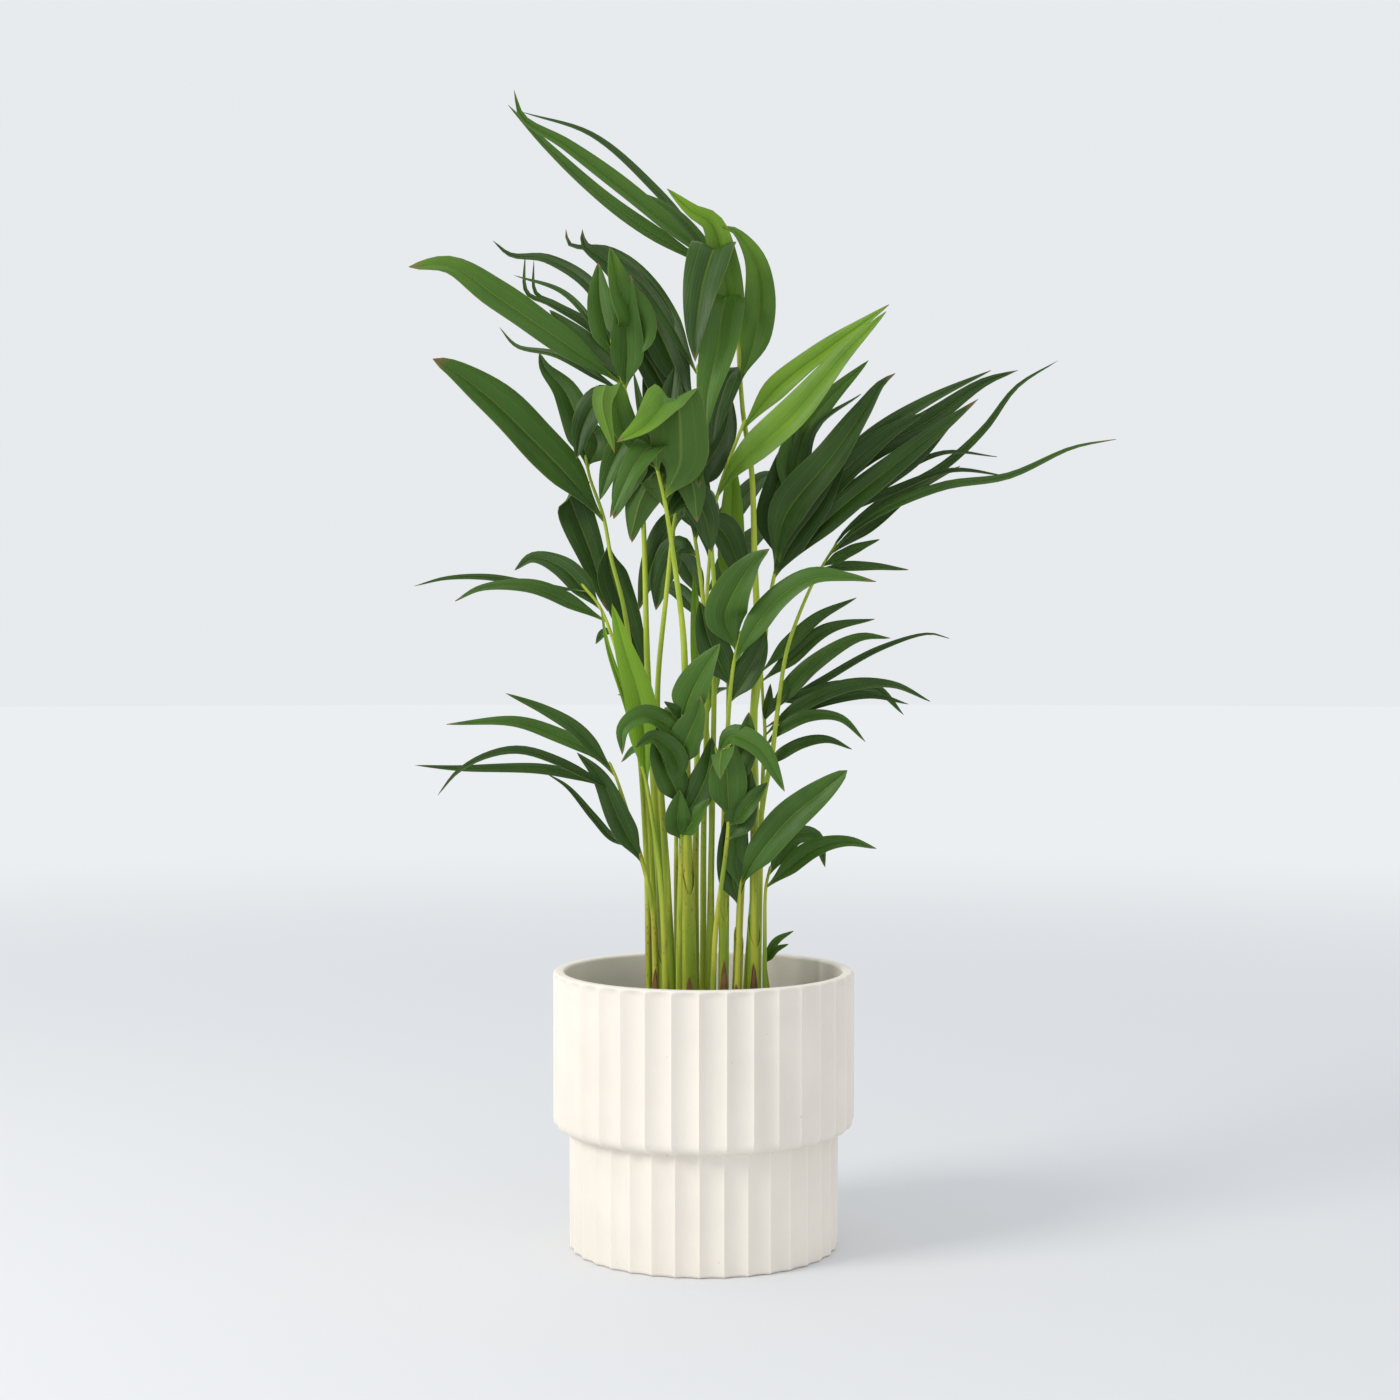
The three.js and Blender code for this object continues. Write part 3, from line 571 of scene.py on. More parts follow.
def turned_piece(name, profile, sides):
    """Spins a profile of (radius, height) points round the upright axis into a closed wall."""
    deselect_all()
    bpy.ops.mesh.primitive_plane_add(size=1)
    piece = bpy.context.object
    bpy.ops.object.mode_set(mode="EDIT")
    bpy.ops.mesh.delete(type="VERT")
    shape = bmesh.from_edit_mesh(piece.data)
    line = [shape.verts.new((radius, 0, height)) for radius, height in profile]
    for first, second in zip(line, line[1:]):
        shape.edges.new((first, second))
    bmesh.update_edit_mesh(piece.data)
    bpy.ops.mesh.select_all(action="SELECT")
    bpy.ops.mesh.spin(steps=sides, angle=math.tau, center=(0, 0, 0), axis=(0, 0, 1))
    bpy.ops.mesh.select_all(action="SELECT")
    bpy.ops.mesh.remove_doubles(threshold=1e-5)
    bpy.ops.mesh.normals_make_consistent(inside=False)
    bpy.ops.object.mode_set(mode="OBJECT")
    piece.name = name
    piece.data.name = name
    return piece


def arc(centre_radius, centre_height, radius, start, end, steps):
    """Points of a round corner in a profile, angles in degrees from outwards to upwards."""
    points = []
    for step in range(steps + 1):
        angle = math.radians(start + (end - start) * step / steps)
        points.append((centre_radius + radius * math.cos(angle), centre_height + radius * math.sin(angle)))
    return points


# ---- cover pot ----


STEP_ROUND = 6 * MM  # rounding of the upper tier's lower edge
FOOT_ROUND = 1.8 * MM
RIM_ROUND = 2 * MM  # rounding of the rim's outer edge
LIP_ROUND = 1.5 * MM  # rounding of the rim's inner edge
FLOOR_ROUND = 3 * MM
POT_FLOOR = 8 * MM
FOOT_RECESS = 1.2 * MM  # hollow under the foot
TIER_INSET = 6.7 * MM  # how far the wall inside steps in at the lower tier
RIM_BAND = 9 * MM  # height of the finely divided top of the wall


def pot_profile(pot):
    """The pot's section as (radius, height, flute depth), from under its foot to its floor inside."""
    upper, lower, step, top = pot.upper_radius, pot.lower_radius, pot.step_height, pot.height
    deep = pot.flute_depth
    inner = upper - pot.wall
    lower_inner = inner - TIER_INSET
    points = [(0.0, FOOT_RECESS, 0.0), (lower * 0.5, FOOT_RECESS, 0.0), (lower - 13 * MM, FOOT_RECESS, 0.0)]
    points += [(lower - 11.5 * MM, 0.0, 0.0), (lower - 4 * MM, 0.0, 0.2 * deep)]
    points += [(lower - 2 * MM, 0.0, 0.5 * deep)]
    for radius, height in arc(lower - FOOT_ROUND, FOOT_ROUND, FOOT_ROUND, -60, 0, 4):
        points.append((radius, height, 0.72 * deep))
    for share in (0.1, 0.3, 0.5, 0.7, 0.9, 0.97):
        points.append((lower, step * share, 0.75 * deep))
    points += [(lower + 0.4 * MM, step - 0.3 * MM, 0.7 * deep), (lower + 1.4 * MM, step, 0.6 * deep)]
    shoulder = step + STEP_ROUND
    for radius, height in arc(upper - STEP_ROUND, shoulder, STEP_ROUND, -80, 0, 9):
        points.append((radius, height, deep * (0.6 + 0.4 * smooth_step(step, shoulder, height))))
    rim = top - RIM_BAND
    for share in (0.15, 0.35, 0.55, 0.75, 0.9):
        points.append((upper, shoulder + (rim - step - STEP_ROUND) * share, deep))
    for part in range(13):
        points.append((upper, rim + (top - 2.2 * MM - rim) * part / 12, deep))
    for radius, height in arc(upper - RIM_ROUND, top - RIM_ROUND, RIM_ROUND, 12, 90, 6):
        points.append((radius, height, deep * smooth_step(top + 0.2 * MM, top - 2 * MM, height)))
    for radius, height in arc(inner + LIP_ROUND, top - LIP_ROUND, LIP_ROUND, 90, 180, 5):
        points.append((radius, height, 0.0))
    points += [(inner, top - 12 * MM, 0.0), (inner, step + 20 * MM, 0.0), (inner, step + 14 * MM, 0.0)]
    points += [(lower_inner, step + 4 * MM, 0.0), (lower_inner, step * 0.5, 0.0)]
    for radius, height in arc(lower_inner - FLOOR_ROUND, POT_FLOOR + FLOOR_ROUND, FLOOR_ROUND, 0, -90, 4):
        points.append((radius, height, 0.0))
    points += [(lower_inner * 0.5, POT_FLOOR, 0.0), (0.0, POT_FLOOR, 0.0)]
    return points


FLUTE_TURN = math.radians(-91.6)  # one ridge stands just left of the front
FLUTE_ACROSS = (0, 0.03, 0.08, 0.16, 0.28, 0.42, 0.5, 0.58, 0.72, 0.84, 0.92, 0.97, 1)


def flute_hollow(across, height, depth, pot):
    """How far a flute is hollowed at a place across it; it runs out in the rim."""
    spread = abs(2 * across - 1)
    softened = math.sqrt(spread * spread + 0.0009) - 0.03
    fade = 1 - 0.35 * smooth_step(pot.height - 4 * MM, pot.height - 0.6 * MM, height)
    return depth * (1 - softened**2) * fade


def model_cover_pot(pot):
    """One flute's wedge from the foot over the rim to the floor, then spun round."""
    profile = pot_profile(pot)
    columns, rows = len(FLUTE_ACROSS) - 1, len(profile) - 1
    deselect_all()
    bpy.ops.mesh.primitive_grid_add(x_subdivisions=columns, y_subdivisions=rows, size=2)
    piece = bpy.context.object
    wedge = math.tau / pot.flutes
    for vertex in piece.data.vertices:
        column = round((vertex.co.x + 1) / 2 * columns)
        row = round((vertex.co.y + 1) / 2 * rows)
        radius, height, depth = profile[row]
        across = FLUTE_ACROSS[column]
        if depth:
            radius -= flute_hollow(across, height, depth, pot)
        angle = FLUTE_TURN + wedge * across
        vertex.co = (radius * math.cos(angle), radius * math.sin(angle), height)
    bpy.ops.object.mode_set(mode="EDIT")
    bpy.ops.mesh.select_all(action="SELECT")
    turn = wedge * (pot.flutes - 1)
    bpy.ops.mesh.spin(steps=pot.flutes - 1, dupli=True, angle=turn, center=(0, 0, 0), axis=(0, 0, 1))
    bpy.ops.mesh.select_all(action="SELECT")
    bpy.ops.mesh.remove_doubles(threshold=2e-5)
    bpy.ops.mesh.normals_make_consistent(inside=False)
    bpy.ops.object.mode_set(mode="OBJECT")
    # ridge: 1 on a flute's ridge, 0 in its hollow; the ceramic finish paints a highlight with it.
    ridges = []
    for vertex in piece.data.vertices:
        reach = math.hypot(vertex.co.x, vertex.co.y)
        across = ((math.atan2(vertex.co.y, vertex.co.x) - FLUTE_TURN) / wedge) % 1.0
        inside_wall = vertex.co.z > pot.step_height and reach < pot.upper_radius - pot.wall + 1 * MM
        outside = reach > pot.lower_radius - 3 * MM and not inside_wall
        ridges.append(abs(2 * across - 1) ** 8 if outside else 0.0)
    mark(piece.data, "ridge", ridges)
    return piece


# ---- nursery pot and soil ----


NURSERY_WALL = 1.2 * MM
NURSERY_FOOT = 47.2 * MM  # radius of its floor
NURSERY_SIDES = 96
DRAIN_HOLES = 8
DRAIN_HOLE_RADIUS = 4 * MM
DRAIN_CIRCLE = 33 * MM  # radius at which the holes lie
SOIL_RINGS = 38
SOIL_SIDES = 132
SCRAPS = 190  # bark chips and grains on the soil
GRAIN_EVERY = 6  # one scrap in so many is a white grain

def model_nursery_pot():
    """Thin turned wall with a rim band and eight drain holes."""
    low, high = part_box("nursery_pot")
    base, top, rim = low[2], high[2], high[0]
    wall, foot = NURSERY_WALL, NURSERY_FOOT

    def wall_radius(height):
        return foot + (height - base) / (top - base) * (rim - 3.4 * MM - foot)

    band = top - 9 * MM
    outer = [(0.0, base), (foot - 2 * MM, base), (foot - 0.4 * MM, base + 0.6 * MM), (foot, base + 2 * MM)]
    outer += [(wall_radius(base + 30 * MM), base + 30 * MM), (wall_radius(base + 60 * MM), base + 60 * MM)]
    outer += [(wall_radius(band - 4 * MM), band - 4 * MM), (wall_radius(band), band)]
    outer += arc(rim - 1.6 * MM, band + 1.6 * MM, 1.6 * MM, -80, 0, 4)
    outer += arc(rim - 0.7 * MM, top - 0.7 * MM, 0.7 * MM, 0, 180, 6)
    inner = [(rim - 2.2 * MM, band + 3 * MM), (wall_radius(band) - wall, band)]
    inner += [(wall_radius(base + 40 * MM) - wall, base + 40 * MM), (foot - wall, base + 3 * MM)]
    inner += [(foot - wall - 1.2 * MM, base + wall), (0.0, base + wall)]
    piece = turned_piece("nursery_grow_pot", outer + inner, NURSERY_SIDES)
    holes = []
    for hole in range(DRAIN_HOLES):
        angle = hole / DRAIN_HOLES * math.tau
        deselect_all()
        bpy.ops.mesh.primitive_cylinder_add(
            vertices=20,
            radius=DRAIN_HOLE_RADIUS,
            depth=8 * MM,
            location=(DRAIN_CIRCLE * math.cos(angle), DRAIN_CIRCLE * math.sin(angle), base),
        )
        holes.append(bpy.context.object)
    cutter = join("drain_holes", holes)
    apply_modifier(piece, "BOOLEAN", operation="DIFFERENCE", object=cutter, solver="EXACT")
    bpy.data.objects.remove(cutter)
    return piece


def soil_height(x, y, crown):
    """Crumbly surface, a little higher round the middle."""
    place = Vector((x, y, 0.0))
    lumps = noise.noise(place * 60) * 1.6 + noise.noise(place * 190) * 1.0 + noise.noise(place * 480) * 0.6
    mound = 1.4 * (1 - (math.hypot(x, y) / crown) ** 2)
    return (mound + lumps) * MM


def model_soil(rng):
    """The root ball with its rough top, and the bark chips and perlite lying on it."""
    low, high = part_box("soil")
    bottom, level, edge = low[2], high[2] - 1.5 * MM, high[0]
    foot = 46.5 * MM
    profile = [(edge * ring / SOIL_RINGS, level) for ring in range(SOIL_RINGS)]
    profile += [(edge - 0.4 * MM, level - 0.6 * MM), (edge - 0.8 * MM, level - 3 * MM)]
    profile += [(foot + 6 * MM, (bottom + level) / 2), (foot, bottom + 2 * MM)]
    profile += [(foot - 2 * MM, bottom), (foot * 0.5, bottom), (0.0, bottom)]
    ball = turned_piece("soil_ball", profile, SOIL_SIDES)
    for vertex in ball.data.vertices:
        x, y, z = vertex.co
        if z > level - 1 * MM:
            vertex.co.z += soil_height(x, y, edge) * smooth_step(edge, edge - 3 * MM, math.hypot(x, y))
    deselect_all()
    bpy.ops.mesh.primitive_ico_sphere_add(subdivisions=2, radius=1)
    chip = bpy.context.object
    scraps = []
    for count in range(SCRAPS):
        reach = (edge - 4 * MM) * math.sqrt(rng.random())
        angle = rng.uniform(0, math.tau)
        x, y = reach * math.cos(angle), reach * math.sin(angle)
        grain = count % GRAIN_EVERY == 0
        size = rng.uniform(0.7, 1.5) * MM if grain else rng.uniform(1.0, 3.4) * MM
        flat = rng.uniform(0.7, 1.0) if grain else rng.uniform(0.22, 0.5)
        wide = rng.uniform(0.45, 0.9)
        scrap = chip.copy()
        scrap.data = chip.data.copy()
        bpy.context.collection.objects.link(scrap)
        offset = Vector((rng.random() * 50, rng.random() * 50, 0))
        turn = Euler((rng.uniform(-0.5, 0.5), rng.uniform(-0.5, 0.5), rng.uniform(0, math.tau)))
        place = Vector((x, y, level + soil_height(x, y, edge) + size * flat * 0.35))
        for vertex in scrap.data.vertices:
            jag = 1 + 0.45 * noise.noise(vertex.co * 1.7 + offset)
            shape = Vector((vertex.co.x * size, vertex.co.y * size * wide, vertex.co.z * size * flat)) * jag
            shape.rotate(turn)
            vertex.co = shape + place
        for face in scrap.data.polygons:
            face.material_index = 2 if grain else 1
        scraps.append(scrap)
    bpy.data.objects.remove(chip)
    return join("potting_soil", [ball, *scraps])


# ---- palm ----


class Leaflet:
    """Height of its root on the stalk, width, tone at root and tip (partly its own green, partly painted
    shade and painted highlight), profile and the points it passes.
    """

    def __init__(self, height, width, root_tone, tip_tone, peak, points):
        self.height = height
        self.width = width
        self.root_tone = root_tone
        self.tip_tone = tip_tone
        self.peak = peak
        self.points = points


class Frond:
    """A stalk with its radii at foot and end, its path, and its leaflets; millimetres."""

    def __init__(self, name, slot, foot_radius, end_radius, path, leaflets):
        self.name = name
        self.slot = slot
        self.foot_radius = foot_radius
        self.end_radius = end_radius
        self.path = path
        self.leaflets = leaflets


# Leaflet tones follow how light or dark each leaflet looks: partly its own green, partly painted shade (low
# tones, inside the crown) and painted highlight (high tones, at lit folded tips).
FRONDS = (
    Frond(
        "crown_frond", "leaf", 2.8, 0.8,
        ((25, -4, 98), (25.5, -4, 223), (25, -3, 265), (27, -2, 299), (25.5, 0, 343), (24, 3, 388),
            (20, 6, 415), (18.5, 8, 433), (15, 10, 474), (9, 10, 489), (3, 8, 496)),
        (
            Leaflet(490, 4.5, 0.15, 0.15, POINTED, ((-24, 22, 531), (-57, 30, 561), (-92, 34, 573))),
            Leaflet(488, 10, 0.45, 0.45, POINTED, ((-14, 0, 507), (-42, -6, 529), (-68, -10, 547.5),
                (-89, -13, 560), (-93, -15, 573))),
            Leaflet(486, 8.5, 0.4, 0.4, POINTED, ((-28, 14, 510), (-55.5, 18, 531), (-80, 21, 554),
                (-99, 22, 574))),
            Leaflet(484, 8, 0.3, 0.3, POINTED, ((-14, 12, 517), (-38, 16, 531))),
            Leaflet(452, 15, 0.5, 0.95, POINTED, ((13, -8, 470), (10, -12, 489), (4, -15, 508),
                (-5, -17, 513), (-18, -18, 524))),
            Leaflet(433, 16, 0.45, 0.75, POINTED, ((25, -2, 452), (28, -6, 474), (25, -9, 492),
                (16, -12, 504), (9, -15, 506))),
            Leaflet(492, 21, 0.15, 0.05, POINTED, ((5, -20, 497), (-1, -30, 476), (-4, -34, 452),
                (-4, -36, 437))),
            Leaflet(482, 20, 0.4, 0.6, POINTED, ((10, -18, 468), (7, -26, 446), (2, -32, 422),
                (1, -36, 403))),
            Leaflet(440, 13, 0.05, 0.05, POINTED, ((13, -4, 434), (7, -12, 416), (4, -16, 399))),
            Leaflet(480, 4, 0.2, 0.2, POINTED, ((-10, 16, 500), (-30, 20, 508))),
        ),
    ),
    Frond(
        "left_crown_frond", "leaf", 2.6, 0.7,
        ((-18, 8, 98), (-22, 8, 180), (-28, 8, 286), (-31, 8, 376), (-36, 6, 415), (-41, 4, 434),
            (-46, 4, 452)),
        (
            Leaflet(430, 17, 0.35, 0.6, BLUNT, ((-68, -8, 450), (-101, -16, 472), (-124, -20, 486.5),
                (-144, -22, 485))),
            Leaflet(432, 14, 0.2, 0.2, POINTED, ((-58, 12, 450), (-78, 18, 470))),
            Leaflet(434, 4, 0.15, 0.15, POINTED, ((-53, 16, 457), (-78, 24, 474), (-90, 27, 480),
                (-91, 28, 500))),
            Leaflet(436, 4, 0.15, 0.15, POINTED, ((-52, 20, 459), (-76, 30, 475), (-86, 33, 481),
                (-87, 34, 498))),
            Leaflet(426, 4.5, 0.15, 0.15, POINTED, ((-74, 24, 448), (-96, 34, 454), (-105, 38, 464))),
            Leaflet(439.5, 19, 0.3, 0.7, POINTED, ((-33, -4, 459), (-41, -10, 478), (-46, -14, 496))),
            Leaflet(442, 16, 0.3, 0.3, POINTED, ((-52, 10, 474), (-53, 12, 493))),
            Leaflet(448, 7.5, 0.1, 0.1, POINTED, ((-55, 20, 480), (-80, 30, 498), (-99, 34, 500.5),
                (-108, 36, 508))),
            Leaflet(446, 3.5, 0.15, 0.15, POINTED, ((-70, 16, 478), (-96, 22, 488))),
            Leaflet(428, 16, 0.25, 0.35, POINTED, ((-38, -2, 446), (-38, -6, 466), (-36, -8, 484))),
            Leaflet(420, 15, 0.1, 0.1, POINTED, ((-52, 8, 424), (-60, 10, 412), (-64, 10, 394))),
            Leaflet(412, 14, 0.12, 0.12, POINTED, ((-24, 4, 420), (-16, 2, 412), (-12, 0, 396))),
        ),
    ),
    Frond(
        "inner_crown_frond", "leaf", 2.2, 0.7,
        ((-14, -2, 98), (-18, -3, 180), (-23, -3, 273), (-18.5, -2, 326), (-14.5, 1, 362), (-7, 7, 400),
            (-3, 8, 425), (-3, 9, 440)),
        (
            Leaflet(436, 10, 0.1, 0.1, POINTED, ((-28, 26, 484), (-49, 36, 503), (-69, 40, 507),
                (-71, 42, 515))),
            Leaflet(417, 18, 0.12, 0.12, POINTED, ((-32, 24, 477.5), (-50, 30, 497), (-61, 33, 505.5),
                (-62, 34, 513.5))),
            Leaflet(405, 18, 0.1, 0.15, POINTED, ((-24, 14, 440), (-38, 20, 462), (-46, 24, 480))),
            Leaflet(395, 18, 0.12, 0.15, POINTED, ((2, 4, 418), (6, 2, 436), (6, 0, 452))),
            Leaflet(385, 16, 0.1, 0.1, POINTED, ((-24, 6, 386), (-32, 8, 372), (-36, 8, 352))),
        ),
    ),
    Frond(
        "left_broad_frond", "leaf", 2.2, 0.8,
        ((-23, 16, 98), (-27, 17, 200), (-40, 20, 317), (-47, 22, 345), (-51, 24, 366), (-58, 26, 386),
            (-60, 27, 396)),
        (
            Leaflet(363, 23, 0.2, 0.4, BLUNT, ((-68, 13, 387), (-84, 7, 404), (-105, 0, 424),
                (-124, -6, 437.5), (-134, -8, 442))),
            Leaflet(390, 16, 0.25, 0.25, POINTED, ((-61, 32, 404), (-71, 38, 431), (-82, 42, 444),
                (-85, 44, 452))),
            Leaflet(392, 13, 0.2, 0.2, POINTED, ((-54, 30, 404), (-61, 34, 418))),
            Leaflet(384, 18, 0.08, 0.08, POINTED, ((-68, 46, 378), (-58, 52, 346), (-50, 54, 318))),
            Leaflet(352, 16, 0.05, 0.05, POINTED, ((-48, 36, 340), (-38, 42, 310), (-29, 44, 281))),
        ),
    ),
    Frond(
        "left_middle_frond", "leaf", 1.9, 0.7,
        ((-27, 6, 98), (-29, 2, 200), (-34, -3, 260), (-44, -4, 300), (-52, -2, 320), (-60, -2, 330)),
        (
            Leaflet(312, 9.5, 0.2, 0.2, POINTED, ((-68, -8, 323), (-87.5, -12, 330), (-110, -14, 328.5),
                (-122.5, -15, 322))),
            Leaflet(318, 12, 0.15, 0.15, POINTED, ((-71, 4, 340), (-86, 8, 344.5), (-95, 8, 338))),
            Leaflet(327, 4, 0.1, 0.1, POINTED, ((-88, 2, 331), (-108, 4, 334.5), (-129, 5, 334),
                (-145, 5, 330))),
            Leaflet(306, 5, 0.2, 0.2, POINTED, ((-50, 2, 307), (-54, 3, 301))),
        ),
    ),
    Frond(
        "lower_left_frond", "leaf", 2, 0.7,
        ((-24, -5, 98), (-24, -6, 150), (-26, -10, 175), (-34, -14, 206), (-43, -17, 235), (-46, -18, 242)),
        (
            Leaflet(237, 7, 0.2, 0.2, POINTED, ((-62, -24, 259), (-77, -28, 268.5), (-96.5, -30, 277))),
            Leaflet(235, 7.5, 0.25, 0.25, POINTED, ((-54, -12, 247), (-74, -8, 256.5), (-94, -6, 262.5),
                (-128, -5, 261))),
            Leaflet(226, 5, 0.1, 0.1, POINTED, ((-69, -36, 243.5), (-89, -44, 250), (-104, -48, 247.5),
                (-118, -50, 239.5), (-127, -52, 228.5))),
            Leaflet(228, 5.5, 0.15, 0.15, POINTED, ((-61, -22, 236), (-80, -26, 240), (-119, -32, 240.5),
                (-140, -34, 242))),
            Leaflet(192, 12, 0.2, 0.2, POINTED, ((-41, -20, 214), (-51, -24, 236), (-62, -26, 248))),
            Leaflet(200, 4, 0.1, 0.1, POINTED, ((-45, -4, 204), (-55, 0, 214.5), (-68.5, 4, 229.5),
                (-79, 6, 236))),
        ),
    ),
    Frond(
        "left_young_leaf", "young_leaf", 1.9, 0.9,
        ((-18, -13, 98), (-21, -16, 180), (-28, -18, 232), (-30, -18, 240)),
        (
            Leaflet(232, 15, 0.95, 0.95, POINTED, ((-31, -19, 272), (-39, -20, 299), (-45, -20, 321))),
            Leaflet(228, 4, 0.9, 0.9, POINTED, ((-36, -15, 266), (-47, -14, 299), (-51, -13, 321))),
        ),
    ),
    Frond(
        "front_frond", "leaf", 3.3, 0.8,
        ((-7, -8, 98), (-8, -12, 200), (-9, -16, 280), (-10, -20, 306), (-14, -26, 339), (-19, -33, 371),
            (-24, -38, 392)),
        (
            Leaflet(388, 13, 0.3, 1, POINTED, ((-36, -44, 402), (-45, -51, 423), (-48, -57, 415),
                (-42, -60, 391))),
            Leaflet(371.5, 27, 0.15, 0.8, POINTED, ((-11, -42, 386), (-11.5, -48, 398), (-15, -54, 420),
                (-28, -60, 405), (-41, -62, 396))),
            Leaflet(384, 13, 0.35, 0.35, POINTED, ((-24, -52, 396), (-33, -64, 385), (-44, -68, 360))),
            Leaflet(389, 13, 0.3, 0.3, POINTED, ((-36, -38, 400), (-44, -40, 388), (-50, -40, 370))),
            Leaflet(390, 5, 0.2, 0.2, POINTED, ((-30, -32, 414), (-34, -30, 433))),
            Leaflet(386, 16, 0.2, 0.2, POINTED, ((-30, -28, 394), (-38, -24, 380), (-44, -22, 362))),
            Leaflet(376, 17, 0.15, 0.15, POINTED, ((-12, -30, 388), (-6, -30, 378), (-3, -30, 360))),
            Leaflet(389, 15, 0.25, 0.25, POINTED, ((-14, -34, 406), (-6, -36, 398), (-2, -38, 376))),
            Leaflet(366, 20, 0.12, 0.2, POINTED, ((-22, -26, 384), (-30, -24, 372), (-36, -20, 352))),
            Leaflet(362, 18, 0.15, 0.1, POINTED, ((-8, -24, 376), (0, -22, 366), (4, -20, 346))),
            Leaflet(380, 20, 0.1, 0.1, POINTED, ((-18, -22, 400), (-16, -16, 420), (-14, -12, 438))),
        ),
    ),
    Frond(
        "centre_frond", "leaf", 1.9, 0.7,
        ((0, 6, 98), (0, 6, 200), (1.5, 6, 298), (-4, 1, 352), (-12, -8, 389), (-16, -10, 405)),
        (
            Leaflet(352, 13, 0.15, 0.15, POINTED, ((-3, -7, 370), (-4, -14, 392), (-5, -18, 410))),
            Leaflet(384, 16, 0.12, 0.12, POINTED, ((-18, 10, 404), (-26, 14, 426), (-30, 16, 442))),
            Leaflet(395, 13, 0.2, 0.2, POINTED, ((-24, -8, 408), (-34, -12, 402), (-44, -14, 384))),
            Leaflet(368, 14, 0.1, 0.1, POINTED, ((-18, 12, 360), (-27, 18, 340), (-33, 20, 318))),
            Leaflet(375, 18, 0.1, 0.1, POINTED, ((2, -2, 392), (10, -2, 406), (14, 0, 424))),
            Leaflet(360, 16, 0.08, 0.1, POINTED, ((8, 0, 360), (16, 4, 346), (20, 6, 326))),
            Leaflet(345, 15, 0.08, 0.08, POINTED, ((-12, 4, 350), (-20, 8, 338), (-24, 10, 318))),
        ),
    ),
    Frond(
        "bright_frond", "young_leaf", 1.9, 0.8,
        ((2, -6, 98), (4, -6, 200), (5.5, -6, 323), (4, -8, 360), (8, -12, 378), (14, -15, 395),
            (20, -18, 410)),
        (
            Leaflet(405, 12, 0.8, 0.8, POINTED, ((37, -18, 428), (62, -22, 447), (90, -30, 465.5))),
            Leaflet(374, 17, 0.8, 0.8, POINTED, ((16, -22, 388), (43, -29, 413), (68, -35, 441.5),
                (88, -38, 461))),
        ),
    ),
    Frond(
        "right_fan_frond", "leaf", 2.2, 0.8,
        ((16, 4, 98), (19, 5, 180), (25, 8, 260), (30, 10, 295), (33, 14, 320), (37, 18, 340),
            (44, 22, 358), (52, 26, 374)),
        (
            Leaflet(338, 19, 0.15, 0.15, POINTED, ((41, 8, 366), (64, 2, 396), (79, -4, 417), (88, -6, 430),
                (95, -7, 435))),
            Leaflet(340, 14, 0.1, 0.1, POINTED, ((73, 24, 392), (114, 30, 415), (144, 36, 435.5),
                (162, 38, 442))),
            Leaflet(336, 14, 0.1, 0.1, POINTED, ((62, 14, 364), (103, 10, 397), (138, 8, 424))),
            Leaflet(360, 7.5, 0.12, 0.12, POINTED, ((62, 34, 368), (107, 40, 393), (128, 42, 414))),
            Leaflet(372, 8.5, 0.12, 0.12, POINTED, ((82, 22, 404), (113, 16, 424), (145, 14, 439))),
            Leaflet(372, 5, 0.15, 0.15, POINTED, ((56, 26, 410), (80, 22, 428))),
            Leaflet(366, 13, 0.45, 0.6, POINTED, ((44, 30, 395), (60, 34, 422), (85, 36, 447))),
            Leaflet(358, 4.5, 0.1, 0.1, POINTED, ((90, 40, 384), (124, 42, 400), (152, 44, 398))),
            Leaflet(356, 4.5, 0.1, 0.1, POINTED, ((92, 32, 378), (127, 30, 390), (155, 30, 387))),
            Leaflet(344, 13, 0.1, 0.1, POINTED, ((33, 26, 362), (40, 30, 390), (48, 32, 412),
                (50, 33, 424))),
            Leaflet(350, 15, 0.1, 0.1, POINTED, ((60, 16, 378), (88, 14, 404), (112, 12, 418))),
            Leaflet(334, 15, 0.1, 0.1, POINTED, ((44, 14, 352), (60, 12, 374), (72, 10, 396))),
        ),
    ),
    Frond(
        "right_frond", "leaf", 2, 0.7,
        ((20, 14, 98), (25, 17, 170), (30.5, 20, 222), (35, 22, 245), (37.5, 24, 265), (43, 27, 299),
            (54, 31, 328), (61, 34, 341), (68, 36, 352)),
        (
            Leaflet(341, 7, 0.3, 0.3, POINTED, ((78, 30, 350), (90, 28, 354.5))),
            Leaflet(340, 6, 0.3, 0.3, POINTED, ((82, 38, 341.5), (106, 42, 339.5))),
            Leaflet(344, 5, 0.2, 0.2, POINTED, ((73, 42, 359), (96, 46, 377), (124, 48, 393),
                (146, 50, 413), (163, 52, 435), (185, 54, 449))),
            Leaflet(343, 5, 0.2, 0.2, POINTED, ((72, 30, 355), (89, 22, 368), (121, 18, 381),
                (154, 18, 386), (187, 18, 400.5), (208.5, 16, 404.5))),
            Leaflet(347, 9, 0.2, 0.2, POINTED, ((84, 44, 362), (110, 50, 382), (134, 54, 394))),
        ),
    ),
    Frond(
        "right_front_frond", "leaf", 2.4, 0.8,
        ((10, -7, 98), (10, -9, 180), (11, -12, 240), (14, -15, 285), (16, -17, 297), (18, -18, 306)),
        (
            Leaflet(291, 13, 0.35, 0.35, POINTED, ((21, -22, 303.5), (36, -28, 323.5), (52.5, -32, 334),
                (69.5, -34, 333.5), (83.5, -36, 331))),
            Leaflet(298, 20, 0.3, 0.3, POINTED, ((11, -24, 317), (23, -30, 340), (32, -33, 347))),
            Leaflet(280, 16, 0.12, 0.15, POINTED, ((8, -16, 292), (2, -18, 306), (-2, -19, 322))),
